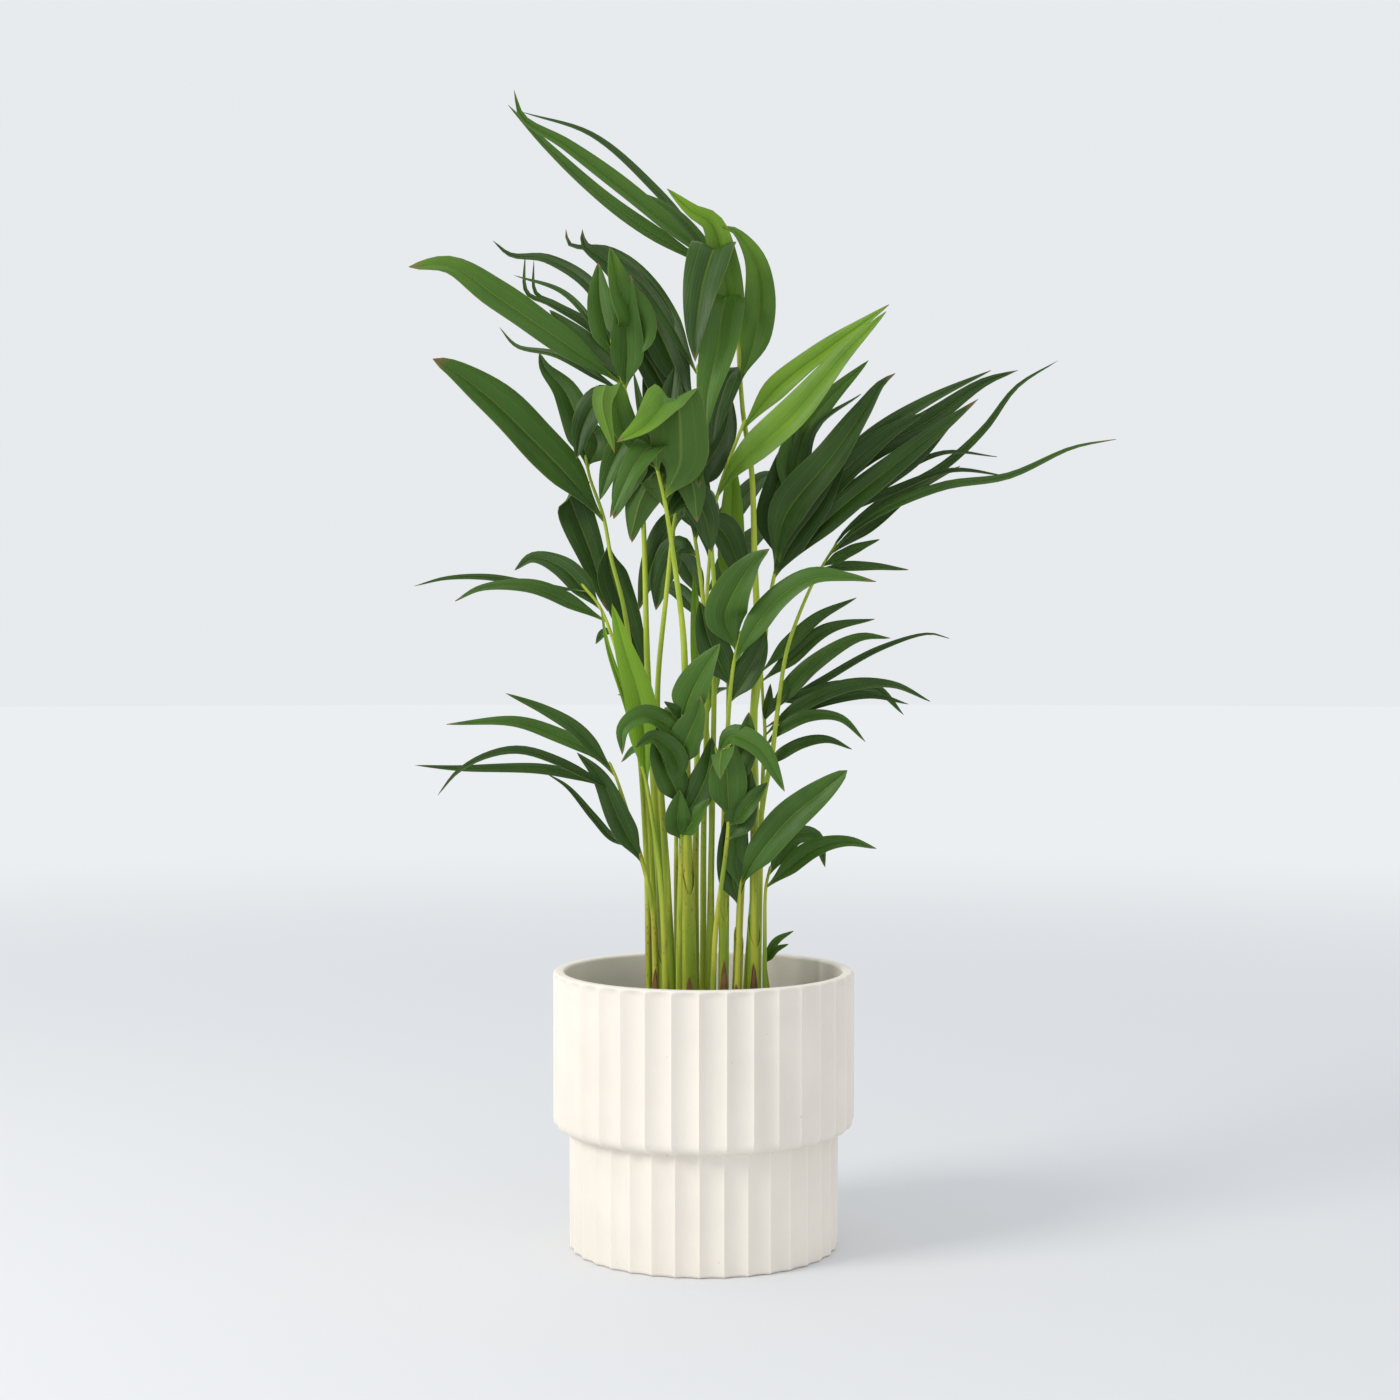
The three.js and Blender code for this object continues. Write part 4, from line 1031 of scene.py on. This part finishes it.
            Leaflet(272, 14, 0.12, 0.12, POINTED, ((18, -14, 282), (26, -12, 296), (30, -10, 312))),
        ),
    ),
    Frond(
        "right_low_frond", "leaf", 1.9, 0.7,
        ((27, 21, 98), (29, 25, 180), (30.5, 28, 236), (31.5, 30, 256), (30.5, 31, 272), (30, 32, 284),
            (30, 33, 292)),
        (
            Leaflet(287, 8, 0.2, 0.2, POINTED, ((57, 36, 313.5), (79, 40, 325))),
            Leaflet(282, 8.5, 0.2, 0.2, POINTED, ((43, 34, 292.5), (64, 37, 309), (88.5, 40, 314))),
            Leaflet(262, 10, 0.25, 0.25, POINTED, ((41, 28, 275), (56, 22, 291), (79, 17, 304.5),
                (94.5, 14, 304))),
            Leaflet(268, 4, 0.15, 0.15, POINTED, ((42, 34, 272), (58, 38, 280.5), (91.5, 42, 299),
                (117, 44, 306.5), (127.5, 45, 304))),
            Leaflet(254, 8.5, 0.2, 0.2, POINTED, ((42.5, 26, 265), (69, 20, 279), (96, 16, 280.5),
                (114.5, 12, 272))),
            Leaflet(272, 8.5, 0.2, 0.2, POINTED, ((52, 34, 274), (71, 38, 279), (89, 40, 278.5),
                (103.5, 40, 264.5))),
            Leaflet(258, 6, 0.2, 0.2, POINTED, ((49, 32, 268), (84, 34, 275), (106, 36, 270))),
            Leaflet(248, 6.5, 0.25, 0.25, POINTED, ((39, 24, 257), (53.5, 20, 264.5), (69.5, 16, 263.5),
                (82, 14, 251.5))),
            Leaflet(236, 7, 0.25, 0.25, POINTED, ((36, 26, 242), (50, 24, 250.5), (63, 22, 252.5),
                (75.5, 20, 247.5))),
            Leaflet(262, 5, 0.2, 0.2, POINTED, ((33, 24, 270), (34, 18, 281))),
        ),
    ),
    Frond(
        "low_broad_leaf", "leaf", 1.8, 0.8,
        ((16, -15, 98), (17, -16, 150), (18, -18, 180), (20, -21, 188)),
        (
            Leaflet(181, 16, 0.3, 0.45, BLUNT, ((24, -27, 194), (41, -34, 216), (60, -38, 232),
                (69.5, -40, 240))),
            Leaflet(180, 12, 0.3, 0.3, POINTED, ((16, -22, 196), (17, -24, 214), (18, -25, 229))),
            Leaflet(172, 13, 0.15, 0.2, POINTED, ((14, -20, 186), (12, -21, 200), (11, -22, 216))),
        ),
    ),
    Frond(
        "low_right_frond", "leaf", 1.5, 0.7,
        ((31, -6, 98), (30.5, -7, 150), (31, -9, 180), (33, -11, 190)),
        (
            Leaflet(180, 10, 0.35, 0.35, POINTED, ((54, -16, 200), (70.5, -20, 204), (85, -22, 200.5))),
            Leaflet(186, 10, 0.3, 0.3, POINTED, ((45, -4, 205), (56, 0, 204.5), (61, 2, 189))),
        ),
    ),
    Frond(
        "low_centre_frond", "leaf", 1.8, 0.7,
        ((-12, -17, 98), (-12, -19, 160), (-11, -23, 203), (-11, -26, 225), (-12, -28, 245),
            (-11, -30, 262), (-10, -31, 270)),
        (
            Leaflet(250, 11, 0.35, 0.35, POINTED, ((-17, -34, 262), (-28.5, -40, 267), (-38.5, -44, 260.5),
                (-39, -46, 247.5))),
            Leaflet(232, 11, 0.3, 0.3, POINTED, ((-14, -34, 247), (-24, -40, 256), (-33, -44, 251))),
            Leaflet(240, 16, 0.3, 0.3, POINTED, ((-9, -34, 254), (-3, -38, 268), (-1.5, -40, 276))),
            Leaflet(205, 13, 0.3, 0.3, POINTED, ((-12.5, -30, 216), (-11.5, -34, 230))),
            Leaflet(207, 11, 0.3, 0.3, POINTED, ((-5, -31, 216), (3, -34, 226))),
            Leaflet(262, 17, 0.45, 0.45, POINTED, ((-7, -35, 276), (1, -39, 291), (8, -41, 301))),
            Leaflet(264, 6, 0.3, 0.3, POINTED, ((-14, -34, 269), (-19, -36, 273))),
            Leaflet(222, 16, 0.2, 0.25, POINTED, ((-14, -30, 232), (-20, -32, 246), (-22, -33, 262))),
            Leaflet(215, 15, 0.15, 0.2, POINTED, ((-4, -28, 226), (2, -30, 240), (4, -31, 256))),
        ),
    ),
    Frond(
        "low_front_frond", "leaf", 1.7, 0.7,
        ((4, -16, 98), (6, -20, 160), (11, -26, 200), (12, -29, 216), (9, -31, 235), (6, -32, 250)),
        (
            Leaflet(216, 18, 0.35, 0.6, POINTED, ((12, -36, 229), (11, -40, 244), (9.5, -44, 249),
                (8, -49, 243), (8, -51, 236))),
            Leaflet(247, 11, 0.35, 0.35, POINTED, ((13, -37, 257), (27, -43, 251), (39, -47, 230))),
            Leaflet(212, 11, 0.3, 0.3, POINTED, ((20, -34, 222), (31, -38, 234))),
            Leaflet(205, 15, 0.15, 0.2, POINTED, ((16, -30, 212), (20, -32, 226), (22, -34, 242))),
            Leaflet(232, 14, 0.2, 0.2, POINTED, ((14, -34, 238), (20, -36, 252), (22, -38, 268))),
        ),
    ),
    Frond(
        "young_pair", "young_leaf", 1.6, 0.8,
        ((4, 15, 98), (4, 15, 200), (2, 15, 258), (1, 15, 266)),
        (
            Leaflet(258, 8, 0.9, 0.9, POINTED, ((-2, 16, 290), (-4, 17, 318), (-5, 18, 338))),
            Leaflet(262, 7, 0.85, 0.85, POINTED, ((6, 17, 292), (7, 19, 318), (6, 20, 334))),
        ),
    ),
    Frond(
        "upright_spear", "young_leaf", 1.7, 1,
        ((11, 22, 98), (12, 21, 200), (13, 19, 318), (13, 19, 328)),
        (
            Leaflet(322, 13, 1, 1, POINTED, ((14, 18, 350), (14.5, 17, 378), (14, 16, 400))),
        ),
    ),
    Frond(
        "back_frond", "leaf", 2.2, 0.8,
        ((-4, 22, 98), (-4, 30, 200), (-2, 42, 280), (2, 52, 330), (4, 60, 360), (4, 64, 372)),
        (
            Leaflet(322, 12, 0.2, 0.2, POINTED, ((-10, 70, 345), (-20, 92, 356), (-26, 108, 352))),
            Leaflet(328, 12, 0.2, 0.2, POINTED, ((18, 72, 350), (34, 92, 364), (42, 108, 362))),
            Leaflet(345, 13, 0.25, 0.25, POINTED, ((2, 78, 372), (0, 100, 384), (-2, 118, 378))),
            Leaflet(355, 12, 0.2, 0.2, POINTED, ((-14, 72, 380), (-28, 86, 398), (-36, 98, 402))),
            Leaflet(355, 12, 0.2, 0.2, POINTED, ((20, 74, 378), (34, 88, 392), (44, 98, 392))),
            Leaflet(312, 9, 0.2, 0.2, POINTED, ((-14, 60, 330), (-26, 74, 332), (-34, 84, 326))),
        ),
    ),
    Frond(
        "back_low_frond", "leaf", 1.8, 0.7,
        ((-13, 20, 98), (-14, 30, 180), (-14, 42, 230), (-14, 50, 250), (-14, 54, 258)),
        (
            Leaflet(232, 8, 0.25, 0.25, POINTED, ((-24, 58, 244), (-36, 72, 246), (-44, 82, 238))),
            Leaflet(238, 8, 0.25, 0.25, POINTED, ((-6, 62, 250), (0, 78, 254), (4, 92, 246))),
            Leaflet(246, 9, 0.25, 0.25, POINTED, ((-16, 66, 262), (-18, 82, 268), (-20, 96, 262))),
            Leaflet(248, 7, 0.25, 0.25, POINTED, ((-24, 62, 264), (-36, 74, 274), (-46, 84, 274))),
            Leaflet(248, 7, 0.25, 0.25, POINTED, ((-4, 60, 264), (6, 72, 276), (14, 82, 278))),
        ),
    ),
    Frond(
        "plantlet", "leaf", 1.1, 0.6,
        ((35, 14, 98), (33, 15, 125), (31, 16, 142), (31, 16, 146)),
        (
            Leaflet(140, 4, 0.5, 0.5, POINTED, ((37, 18, 150), (46, 20, 155))),
            Leaflet(139, 4, 0.5, 0.5, POINTED, ((36, 12, 146), (43, 10, 149.5))),
        ),
    ),
)

# (name of the CAD node, how far its tip leans out, ragged notches)
DRY_SHEATHS = (
    ("dry_sheath_1", 1.2, 3),
    ("dry_sheath_2", 0.8, 2),
    ("dry_sheath_3", 0.6, 3),
    ("dry_sheath_4", 1.0, 2),
    ("dry_sheath_5", 1.4, 3),
)

# (frond, height where its leaf sheath opens, share of the stalk's radius that it adds)
LEAF_SHEATHS = (
    ("front_frond", 205, 0.32),
    ("crown_frond", 168, 0.25),
    ("left_crown_frond", 152, 0.28),
    ("right_fan_frond", 160, 0.25),
    ("right_front_frond", 186, 0.22),
    ("left_broad_frond", 140, 0.25),
)


def model_master_blade():
    """A flat leaflet, one unit long, whose last row closes in a tip."""
    columns = len(LEAF_COLUMNS) - 1
    deselect_all()
    bpy.ops.mesh.primitive_grid_add(x_subdivisions=columns, y_subdivisions=LEAF_ROWS, size=2)
    blade = bpy.context.object
    blade.name = "master_blade"
    for vertex in blade.data.vertices:
        column = round((vertex.co.x + 1) / 2 * columns)
        vertex.co = (LEAF_COLUMNS[column], (vertex.co.y + 1) / 2, 0)
    bpy.ops.object.mode_set(mode="EDIT")
    bpy.ops.mesh.select_all(action="DESELECT")
    shape = bmesh.from_edit_mesh(blade.data)
    bpy.context.tool_settings.mesh_select_mode = (True, False, False)
    for vertex in shape.verts:
        vertex.select = vertex.co.y > 1 - 0.5 / LEAF_ROWS
    shape.select_flush_mode()
    bmesh.update_edit_mesh(blade.data)
    bpy.ops.mesh.merge(type="CENTER")
    bpy.ops.object.mode_set(mode="OBJECT")
    blade.data.uv_layers[0].name = "Blade"
    blade.data.uv_layers.new(name="Veins")
    return blade


def blade_half_width(leaflet, share):
    """Half the leaflet's width at a share of its length."""
    rise = math.sin(math.pi * (LEAF_START + (1 - LEAF_START) * share) ** leaflet.peak)
    fullness = 0.6 if leaflet.peak == BLUNT else 0.8
    stem = STEM_WIDTH + (1 - STEM_WIDTH) * smooth_step(0.0, STEM_END, share)
    return BLADE_SPREAD / 2 * leaflet.width * max(rise, 0.0) ** fullness * stem


def blade_directions(track, rng):
    """For each row of a leaflet: forward, across and the way its upper side looks."""
    forwards = [track.forward(row / LEAF_ROWS) for row in range(LEAF_ROWS + 1)]
    chord = Vector(track.points[-1]) - track.points[0]
    before = chord.cross(LEAF_FACE).normalized()
    sides = []
    for forward in forwards:
        side = forward.cross(LEAF_FACE)
        if side.dot(before) < 0:
            side.negate()
        side += before * (1 - side.length)
        before = (side - forward * side.dot(forward)).normalized()
        sides.append(before)
    for _ in range(5):
        padded = [sides[0], *sides, sides[-1]]
        sides = [(padded[i] + padded[i + 1] * 2 + padded[i + 2]).normalized() for i in range(len(sides))]
    twist, lean = rng.uniform(-0.35, 0.35), rng.uniform(-0.12, 0.12)
    directions = []
    for row, (forward, side) in enumerate(zip(forwards, sides)):
        side = (side - forward * side.dot(forward)).normalized()
        turn = Matrix.Rotation(lean + twist * (row / LEAF_ROWS) ** 1.5, 3, forward)
        side = turn @ side
        directions.append((forward, side, side.cross(forward)))
    return directions


def fit_blade(master, root, leaflet, rng):
    """A copy of the master blade laid along a leaflet's line, folded at its midrib."""
    track = Track([root, *leaflet.points])
    directions = blade_directions(track, rng)
    blade = master.copy()
    blade.data = master.data.copy()
    bpy.context.collection.objects.link(blade)
    mesh = blade.data
    fold = rng.uniform(0.2, 0.34)
    waves, phases = rng.uniform(1.2, 2.6), (rng.uniform(0, math.tau), rng.uniform(0, math.tau))
    chance = rng.random()
    places, tones = [], []
    for vertex in mesh.vertices:
        across, share = vertex.co.x, vertex.co.y
        row = round(share * LEAF_ROWS)
        half = blade_half_width(leaflet, share)
        _, side, upward = directions[row]
        reach = abs(across)
        depth = -fold * (1 - reach) + 0.07 * math.sin(math.pi * reach)
        depth += 0.02 * (1 - math.cos(4 * math.pi * reach))
        phase = phases[0] if across > 0 else phases[1]
        depth += 0.1 * reach**2 * math.sin(math.tau * waves * share + phase) * math.sin(math.pi * share)
        vertex.co = (track.at(share) + side * half * across + upward * half * depth) * MM
        places.append((across, share, half * across * MM, share * track.length * MM))
        tones.append(leaflet.root_tone + (leaflet.tip_tone - leaflet.root_tone) * share)
    shares, veins = mesh.uv_layers["Blade"].data, mesh.uv_layers["Veins"].data
    for loop in mesh.loops:
        across, share, aside, ahead = places[loop.vertex_index]
        shares[loop.index].uv = (0.5 + 0.5 * across, share)
        veins[loop.index].uv = (aside * VEIN_SCALE, ahead * VEIN_SCALE)
    mark(mesh, "tone", tones)
    mark(mesh, "chance", [chance] * len(mesh.vertices))
    return blade


def model_tube(name, stations, tone):
    """A closed tube through stations of (place, radius), in millimetres."""
    line = bpy.data.curves.new(name, "CURVE")
    line.dimensions = "3D"
    line.bevel_depth = MM
    line.bevel_resolution = 4
    line.use_fill_caps = True
    spline = line.splines.new("POLY")
    spline.points.add(len(stations) - 1)
    for point, (place, radius) in zip(spline.points, stations):
        point.co = (*(place * MM), 1)
        point.radius = radius
    tube = bpy.data.objects.new(name, line)
    bpy.context.collection.objects.link(tube)
    choose(tube)
    bpy.ops.object.convert(target="MESH")
    tube = bpy.context.object
    bpy.ops.object.mode_set(mode="EDIT")
    bpy.ops.mesh.select_all(action="SELECT")
    bpy.ops.mesh.remove_doubles(threshold=1e-6)
    bpy.ops.mesh.normals_make_consistent(inside=False)
    bpy.ops.object.mode_set(mode="OBJECT")
    mark(tube.data, "tone", [tone] * len(tube.data.vertices))
    return tube


def stalk_radius(frond, share, height):
    """It tapers along the stalk, and flares at the foot."""
    radius = frond.foot_radius + (frond.end_radius - frond.foot_radius) * share
    return radius * (1 + FOOT_FLARE * smooth_step(FLARE_TOP, FLARE_BOTTOM, height))


def model_stalk(frond):
    """The stalk: thick at its foot, thin at its end, and never quite even."""
    track = Track(frond.path)
    rings = 64
    stations = []
    for ring in range(rings + 1):
        place = track.at(ring / rings)
        unevenness = 0.04 * noise.noise(place * 0.09)
        stations.append((place, stalk_radius(frond, ring / rings, place.z) * (1 + unevenness)))
    end = track.at(1) + track.forward(1) * frond.end_radius * 2
    stations.append((end, frond.end_radius * 0.3))
    tone = 0.6 if frond.slot == "young_leaf" else 0.0
    return model_tube(frond.name + "_stalk", stations, tone)


def model_leaf_sheath(frond, opening, thicker):
    """The sleeve round the lower stalk, cut on the slant where the stalk leaves it."""
    track = Track(frond.path)
    deselect_all()
    bpy.ops.mesh.primitive_cylinder_add(
        vertices=20, radius=1, depth=1, end_fill_type="NOTHING", location=(0, 0, 0.5)
    )
    sleeve = bpy.context.object
    settle(sleeve)
    bpy.ops.object.mode_set(mode="EDIT")
    for cut in range(1, SLEEVE_ROWS):
        bpy.ops.mesh.select_all(action="SELECT")
        bpy.ops.mesh.bisect(plane_co=(0, 0, cut / SLEEVE_ROWS), plane_no=(0, 0, 1))
    bpy.ops.mesh.select_all(action="SELECT")
    bpy.ops.mesh.bisect(plane_co=(0, 0, 0.86), plane_no=(0.05, -0.12, 1), clear_outer=True)
    bpy.ops.object.mode_set(mode="OBJECT")
    for vertex in sleeve.data.vertices:
        height = SLEEVE_FOOT + (opening - SLEEVE_FOOT) * vertex.co.z
        place = track.at_height(height)
        share = (height - track.points[0].z) / track.length
        looseness = 1 + thicker + 0.12 * smooth_step(0.72, 0.95, vertex.co.z)
        radius = stalk_radius(frond, share, height) * looseness
        vertex.co = Vector((place.x + vertex.co.x * radius, place.y + vertex.co.y * radius, height)) * MM
    apply_modifier(sleeve, "SOLIDIFY", thickness=0.4 * MM, offset=-1)
    mark(sleeve.data, "tone", [0.35] * len(sleeve.data.vertices))
    return sleeve


def model_frond(frond, master, palm, finishes):
    """A whole frond: its leaflets with thickness, its stalk and any leaf sheath, as one piece."""
    rng = random.Random(frond.name)
    track = Track(frond.path)
    blades = [fit_blade(master, track.at_height(leaf.height), leaf, rng) for leaf in frond.leaflets]
    leaves = join(frond.name + "_leaves", blades)
    leaves.data.materials.clear()
    for finish in finishes:
        leaves.data.materials.append(finish)
    apply_modifier(
        leaves,
        "SOLIDIFY",
        thickness=palm.blade_thickness,
        offset=0,
        material_offset=1,
        use_quality_normals=True,
    )
    stems = [model_stalk(frond)]
    for name, opening, thicker in LEAF_SHEATHS:
        if name == frond.name:
            stems.append(model_leaf_sheath(frond, opening, thicker))
    for stem in stems:
        stem.data.materials.clear()
        for finish in finishes:
            stem.data.materials.append(finish)
        for face in stem.data.polygons:
            face.material_index = 2
    piece = join(frond.name + "_growth", [leaves, *stems])
    shade_by_angle(piece, 55)
    return piece


def model_dry_sheath(name, lean, notches, palm, rng):
    """A brown scale wrapped round the front of a stalk's foot, with a torn tip."""
    low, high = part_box(name)
    middle, back = (low[0] + high[0]) / 2, high[1]
    wide, tall = (high[0] - low[0]) / 2, high[2] - low[2]
    columns, rows = 10, 16
    deselect_all()
    bpy.ops.mesh.primitive_grid_add(x_subdivisions=columns, y_subdivisions=rows, size=2)
    scale = bpy.context.object
    phase = rng.uniform(0, math.tau)
    for vertex in scale.data.vertices:
        across, share = vertex.co.x, (vertex.co.y + 1) / 2
        narrow = (1 - share) ** 0.7 * (1 + 0.12 * math.sin(notches * across * 3 + phase) * share) + 0.03
        round_angle = across * narrow * math.radians(62)
        radius = wide * 1.35 + lean * MM * share**2
        ragged = 1 + 0.06 * math.sin(across * notches * 5 + phase) * share
        ripple = 0.25 * MM * noise.noise(Vector((across * 3, share * 9, phase)))
        vertex.co = (
            middle + (radius + ripple) * math.sin(round_angle),
            back - 0.4 * MM - (radius + ripple) * (math.cos(round_angle) - math.cos(math.radians(37))),
            low[2] - 2 * MM + (tall + 2 * MM) * share * ragged,
        )
    apply_modifier(scale, "SOLIDIFY", thickness=0.35 * MM, offset=0)
    scale.name = name + "_scale"
    scale.data.name = scale.name
    shade_by_angle(scale, 60)
    return scale


# ---- stage ----


CAMERA_LENS = 59.7  # millimetres
CAMERA_SHIFT = -0.0025


def aim(item, target):
    item.rotation_euler = (Vector(target) - item.location).to_track_quat("-Z", "Y").to_euler()


def add_softbox(name, place, target, size, power, tint):
    deselect_all()
    bpy.ops.object.light_add(type="AREA", location=place)
    light = bpy.context.object
    light.name = name
    light.data.shape = "DISK"
    light.data.size = size
    light.data.energy = power
    light.data.color = tint
    aim(light, target)
    return light


def model_floor(stage):
    deselect_all()
    bpy.ops.mesh.primitive_circle_add(vertices=96, radius=12, fill_type="NGON")
    floor = bpy.context.object
    floor.name = "floor"
    floor.data.materials.append(floor_finish(stage))


def light_surroundings(stage, strength):
    scene = bpy.context.scene
    world = scene.world or bpy.data.worlds.new("studio")
    scene.world = world
    world.use_nodes = True
    background = world.node_tree.nodes["Background"]
    background.inputs["Color"].default_value = (*stage.backdrop, 1)
    background.inputs["Strength"].default_value = strength


# ---- operators ----


class PALM_OT_cover_pot(bpy.types.Operator):
    """Add the cream ceramic cover pot with its two fluted tiers"""

    bl_idname = "palm.cover_pot"
    bl_label = "Cover Pot"
    bl_options = {"REGISTER", "UNDO"}

    def execute(self, context):
        pot = context.scene.palm_pot
        piece = model_cover_pot(pot)
        piece.name = piece.data.name = "fluted_cover_pot"
        piece.data.materials.append(ceramic_finish(pot))
        shade_by_angle(piece, 38)
        hand_over(piece, "cover_pot")
        return {"FINISHED"}


class PALM_OT_nursery_pot(bpy.types.Operator):
    """Add the black grower's pot that stands in the cover pot"""

    bl_idname = "palm.nursery_pot"
    bl_label = "Nursery Pot"
    bl_options = {"REGISTER", "UNDO"}

    def execute(self, context):
        piece = model_nursery_pot()
        piece.data.materials.append(plastic_finish(context.scene.palm_pot))
        shade_by_angle(piece, 40)
        hand_over(piece, "nursery_pot")
        return {"FINISHED"}


class PALM_OT_soil(bpy.types.Operator):
    """Add the root ball with its crumbly top, bark chips and perlite"""

    bl_idname = "palm.soil"
    bl_label = "Soil"
    bl_options = {"REGISTER", "UNDO"}

    def execute(self, context):
        piece = model_soil(random.Random(5))
        for finish in (soil_finish(context.scene.palm_pot), bark_finish(), perlite_finish()):
            piece.data.materials.append(finish)
        shade_by_angle(piece, 50)
        hand_over(piece, "soil")
        return {"FINISHED"}


class PALM_OT_fronds(bpy.types.Operator):
    """Add every frond: stalk, leaf sheath and leaflets"""

    bl_idname = "palm.fronds"
    bl_label = "Fronds"
    bl_options = {"REGISTER", "UNDO"}

    def execute(self, context):
        palm = context.scene.palm_plant
        finishes = (
            blade_finish("leaflet_upper_side", palm, under=False),
            blade_finish("leaflet_lower_side", palm, under=True),
            stalk_finish(palm),
        )
        master = model_master_blade()
        for frond in FRONDS:
            piece = model_frond(frond, master, palm, finishes)
            hand_over(piece, frond.name)
        bpy.data.objects.remove(master)
        return {"FINISHED"}


class PALM_OT_dry_sheaths(bpy.types.Operator):
    """Add the brown papery scales at the feet of the stalks"""

    bl_idname = "palm.dry_sheaths"
    bl_label = "Dry Sheaths"
    bl_options = {"REGISTER", "UNDO"}

    def execute(self, context):
        palm = context.scene.palm_plant
        finish = sheath_finish(palm)
        rng = random.Random(11)
        for name, lean, notches in DRY_SHEATHS:
            piece = model_dry_sheath(name, lean, notches, palm, rng)
            piece.data.materials.append(finish)
            hand_over(piece, name)
        return {"FINISHED"}


class PALM_OT_stage(bpy.types.Operator):
    """Add the plain floor, the soft lights and the camera"""

    bl_idname = "palm.stage"
    bl_label = "Stage"
    bl_options = {"REGISTER", "UNDO"}

    def execute(self, context):
        stage = context.scene.palm_stage
        model_floor(stage)
        light_surroundings(stage, 0.96)
        middle = (0, 0, 0.25)
        add_softbox("window_left", (-1.5, -0.9, 1.3), middle, 0.9, 21, (1.0, 0.975, 0.94))
        add_softbox("fill_front", (0.9, -1.9, 0.9), middle, 1.8, 0.8, (1.0, 1.0, 1.0))
        add_softbox("top", (0.1, 0.5, 2.0), middle, 1.4, 1.5, (1.0, 1.0, 1.0))
        deselect_all()
        bpy.ops.object.camera_add(
            location=(0, -stage.distance, stage.camera_height),
            rotation=(math.pi / 2 - stage.tilt, 0, 0),
        )
        camera = bpy.context.object
        camera.name = "camera"
        camera.data.sensor_width = 36
        camera.data.lens = CAMERA_LENS
        camera.data.shift_x = CAMERA_SHIFT
        context.scene.camera = camera
        context.scene.view_settings.view_transform = "Standard"
        return {"FINISHED"}


class PALM_PT_panel(bpy.types.Panel):
    """Sidebar panel with every part of the palm"""

    bl_idname = "PALM_PT_panel"
    bl_label = "Potted Areca Palm"
    bl_space_type = "VIEW_3D"
    bl_region_type = "UI"
    bl_category = "Palm"

    def draw(self, context):
        layout = self.layout
        for settings, steps in SECTIONS:
            box = layout.box()
            group = getattr(context.scene, settings)
            for name in group.__annotations__:
                box.prop(group, name)
            for step in steps:
                box.operator(step.bl_idname)


SECTIONS = (
    ("palm_pot", (PALM_OT_cover_pot, PALM_OT_nursery_pot, PALM_OT_soil)),
    ("palm_plant", (PALM_OT_fronds, PALM_OT_dry_sheaths)),
    ("palm_stage", (PALM_OT_stage,)),
)

GROUPS = {"palm_pot": PotSettings, "palm_plant": PalmSettings, "palm_stage": StageSettings}

CLASSES = (
    PotSettings,
    PalmSettings,
    StageSettings,
    PALM_OT_cover_pot,
    PALM_OT_nursery_pot,
    PALM_OT_soil,
    PALM_OT_fronds,
    PALM_OT_dry_sheaths,
    PALM_OT_stage,
    PALM_PT_panel,
)


def register():
    for item in CLASSES:
        bpy.utils.register_class(item)
    for name, group in GROUPS.items():
        setattr(bpy.types.Scene, name, bpy.props.PointerProperty(type=group))


def unregister():
    for name in GROUPS:
        delattr(bpy.types.Scene, name)
    for item in reversed(CLASSES):
        bpy.utils.unregister_class(item)


def main():
    register()
    bpy.ops.palm.cover_pot()
    bpy.ops.palm.nursery_pot()
    bpy.ops.palm.soil()
    bpy.ops.palm.fronds()
    bpy.ops.palm.dry_sheaths()
    bpy.ops.palm.stage()
    bpy.context.view_layer.update()


if __name__ == "__main__":
    main()
